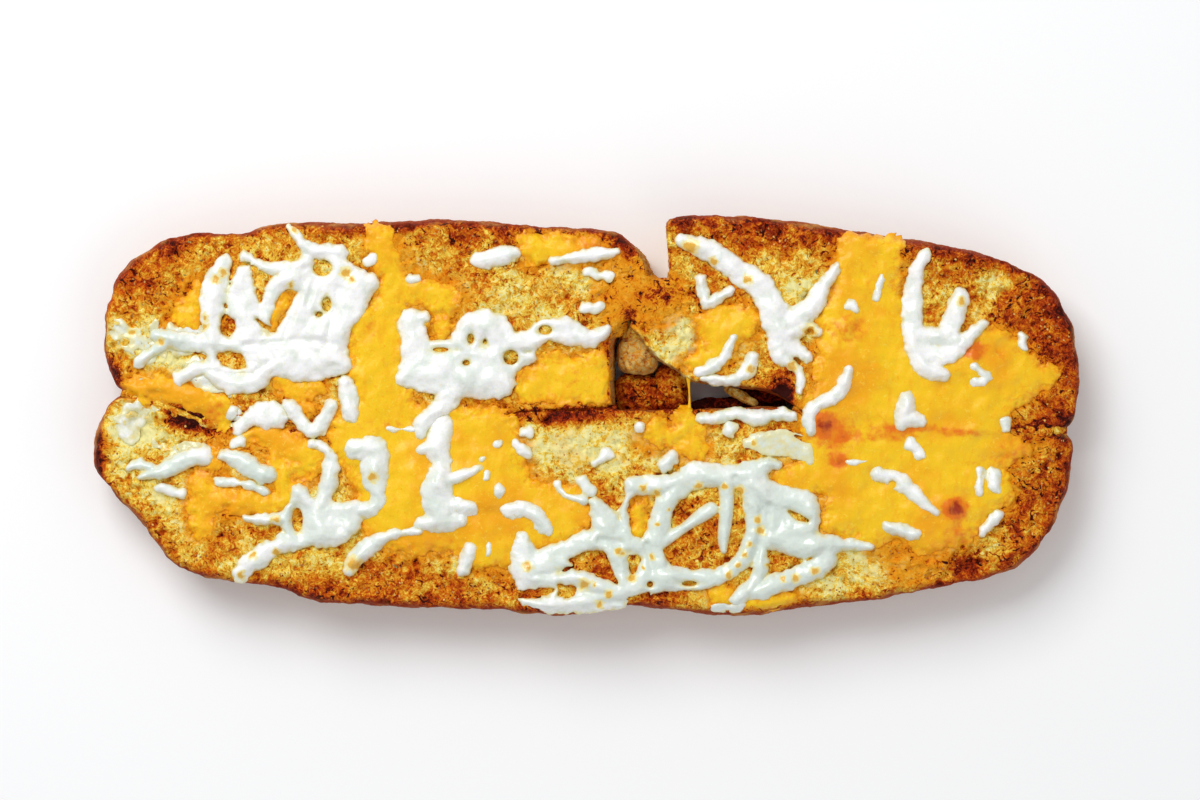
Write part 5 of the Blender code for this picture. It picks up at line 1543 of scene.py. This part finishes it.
def scatterGroup():
    group = bpy.data.node_groups.new("scatterBits", "GeometryNodeTree")
    for name, kind in scatterInputs.items():
        group.interface.new_socket(name, in_out="INPUT", socket_type=kind)
    group.interface.new_socket("Geometry", in_out="OUTPUT", socket_type="NodeSocketGeometry")
    add, link = group.nodes.new, group.links.new
    entry, leave = add("NodeGroupInput").outputs, add("NodeGroupOutput").inputs
    share = add("GeometryNodeInputNamedAttribute")
    share.data_type = "FLOAT"
    share.inputs["Name"].default_value = "share"
    density = add("ShaderNodeMath")
    density.operation = "MULTIPLY"
    points, place = add("GeometryNodeDistributePointsOnFaces"), add("GeometryNodeInstanceOnPoints")
    shape = add("GeometryNodeMeshIcoSphere")
    shape.inputs["Radius"].default_value = mm
    shape.inputs["Subdivisions"].default_value = 1
    size, turn = add("FunctionNodeRandomValue"), add("FunctionNodeRandomValue")
    size.data_type = turn.data_type = "FLOAT_VECTOR"
    tilt, most = scatterDesign["tilt"], scatterDesign["turn"]
    turn.inputs[0].default_value, turn.inputs[1].default_value = (-tilt, -tilt, -most), (tilt, tilt, most)
    real, paint = add("GeometryNodeRealizeInstances"), add("GeometryNodeSetMaterial")
    for start, end in (
        (share.outputs["Attribute"], density.inputs[0]), (entry["Density"], density.inputs[1]),
        (entry["Geometry"], points.inputs["Mesh"]), (density.outputs[0], points.inputs["Density"]),
        (entry["Seed"], points.inputs["Seed"]), (entry["Smallest"], size.inputs[0]),
        (entry["Largest"], size.inputs[1]), (entry["Seed"], size.inputs["Seed"]),
        (entry["Seed"], turn.inputs["Seed"]), (points.outputs["Points"], place.inputs["Points"]),
        (shape.outputs["Mesh"], place.inputs["Instance"]), (size.outputs[0], place.inputs["Scale"]),
        (turn.outputs[0], place.inputs["Rotation"]), (place.outputs["Instances"], real.inputs["Geometry"]),
        (real.outputs["Geometry"], paint.inputs["Geometry"]), (entry["Material"], paint.inputs["Material"]),
        (paint.outputs["Geometry"], leave["Geometry"]),
    ):
        link(start, end)
    return group


def carrierMesh(name, heights, share):
    # a coarser copy of the map, where bits may lie
    step = scatterDesign["mapStep"]
    y, x = np.meshgrid(np.arange(0, len(mapY), step), np.arange(0, len(mapX), step), indexing="ij")
    points = np.stack([mapX[x], mapY[y], heights[y, x]], -1)
    amount = share[y, x]
    index = np.arange(x.size).reshape(x.shape)
    near, right, opposite, above = np.s_[:-1, :-1], np.s_[:-1, 1:], np.s_[1:, 1:], np.s_[1:, :-1]
    corners = (near, right, opposite, above)
    keep = np.minimum.reduce([amount[part] for part in corners]) > scatterDesign["leastShare"]
    faces = np.stack([index[part][keep] for part in corners], 1).tolist()
    return makeMesh(name, points.reshape(-1, 3), faces, {"share": amount.ravel()})


def scatter(name, carrier, group, settings):
    modifier = carrier.modifiers.new("scatter", "NODES")
    modifier.node_group = group
    for item in group.interface.items_tree:
        if item.in_out == "INPUT" and item.name in settings:
            modifier[item.identifier] = settings[item.name]
    bpy.context.view_layer.update()
    ready = carrier.evaluated_get(bpy.context.evaluated_depsgraph_get())
    mesh = bpy.data.meshes.new_from_object(ready)
    mesh.name = name
    piece = bpy.data.objects.new(name, mesh)
    bpy.context.scene.collection.objects.link(piece)
    bpy.data.objects.remove(carrier)
    return piece


openDesign = {"clear": (0.6, 1.6), "above": 17.0, "edge": (1.2, 15.0)}
looseDesign = {
    "looseCrumbs": {"Density": 90000.0, "Seed": 3, "Smallest": (0.18, 0.18, 0.14),
                    "Largest": (0.55, 0.45, 0.4), "Material": looseCrumbLook},
    "herbFlecks": {"Density": 5000.0, "Seed": 8, "Smallest": (0.25, 0.15, 0.08),
                   "Largest": (0.8, 0.4, 0.16), "Material": herbLook},
}
herbSpots = (
    (107.8, 36.7, 1.6, 1.6, 40), (27, -5.8, 2.6, 1.8, 40), (-6.7, 32, 1.6, 1.6, 30), (-111, 44, 2, 2, 20),
    (-30, -50, 2, 2, 12), (66, -50, 2, 2, 12),
)
edgeReach, edgeHeight = openDesign["edge"]
openCrumb = ease(*openDesign["clear"], nearCheese) * (ground > openDesign["above"])
openCrumb *= slideMap(ground, edgeReach, np.minimum) > edgeHeight
shares = {"looseCrumbs": openCrumb, "herbFlecks": openCrumb * (0.5 + spotMap(herbSpots))}
group = scatterGroup()
looseCrumbs, herbFlecks = (
    scatter(name, carrierMesh(name + "Carrier", ground, shares[name]), group, settings)
    for name, settings in looseDesign.items()
)
print("scattered:", len(looseCrumbs.data.polygons), "and", len(herbFlecks.data.polygons), "faces")

# the parts ride on the one body and stand for the solids
for piece, design in breadPieces:
    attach(piece, "root")
    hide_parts(design["node"])
for piece in (*lumpPieces, *seamPieces, looseCrumbs, herbFlecks):
    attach(piece, "root")
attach(threadPiece, "root")
for piece, node, slot in cheeseMade:
    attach(piece, "root")
    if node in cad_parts:
        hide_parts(node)


# a plain pale table and soft studio light

studio = {
    "floor": tone(251, 252, 253), "halfTable": 3000, "world": 0.44,
    "key": {"at": (-0.5, 0.75, 1.0), "size": 0.8, "watts": 13},
    "fill": {"at": (0.8, -0.7, 0.9), "size": 1.2, "watts": 3.5},
}


def addLight(name, setting):
    data = bpy.data.lights.new(name, "AREA")
    data.size = setting["size"]
    data.energy = setting["watts"]
    light = bpy.data.objects.new(name, data)
    light.location = setting["at"]
    light.rotation_euler = (-Vector(setting["at"])).to_track_quat("-Z", "Y").to_euler()
    bpy.context.scene.collection.objects.link(light)


def addStudio():
    half = studio["halfTable"]
    corners = [(x * half, y * half, 0) for x, y in ((-1, -1), (1, -1), (1, 1), (-1, 1))]
    floor = makeMesh("table", corners, [(0, 1, 2, 3)])
    floor.data.materials.append(Paint("paleTable").finish(studio["floor"], 0.6))
    addLight("key", studio["key"])
    addLight("fill", studio["fill"])
    world = bpy.data.worlds.new("studio")
    world.use_nodes = True
    sky = world.node_tree.nodes["Background"]
    sky.inputs["Color"].default_value = (1, 1, 1, 1)
    sky.inputs["Strength"].default_value = studio["world"]
    bpy.context.scene.world = world
    bpy.context.scene.view_settings.view_transform = "Standard"


addStudio()
print("table and lights set")
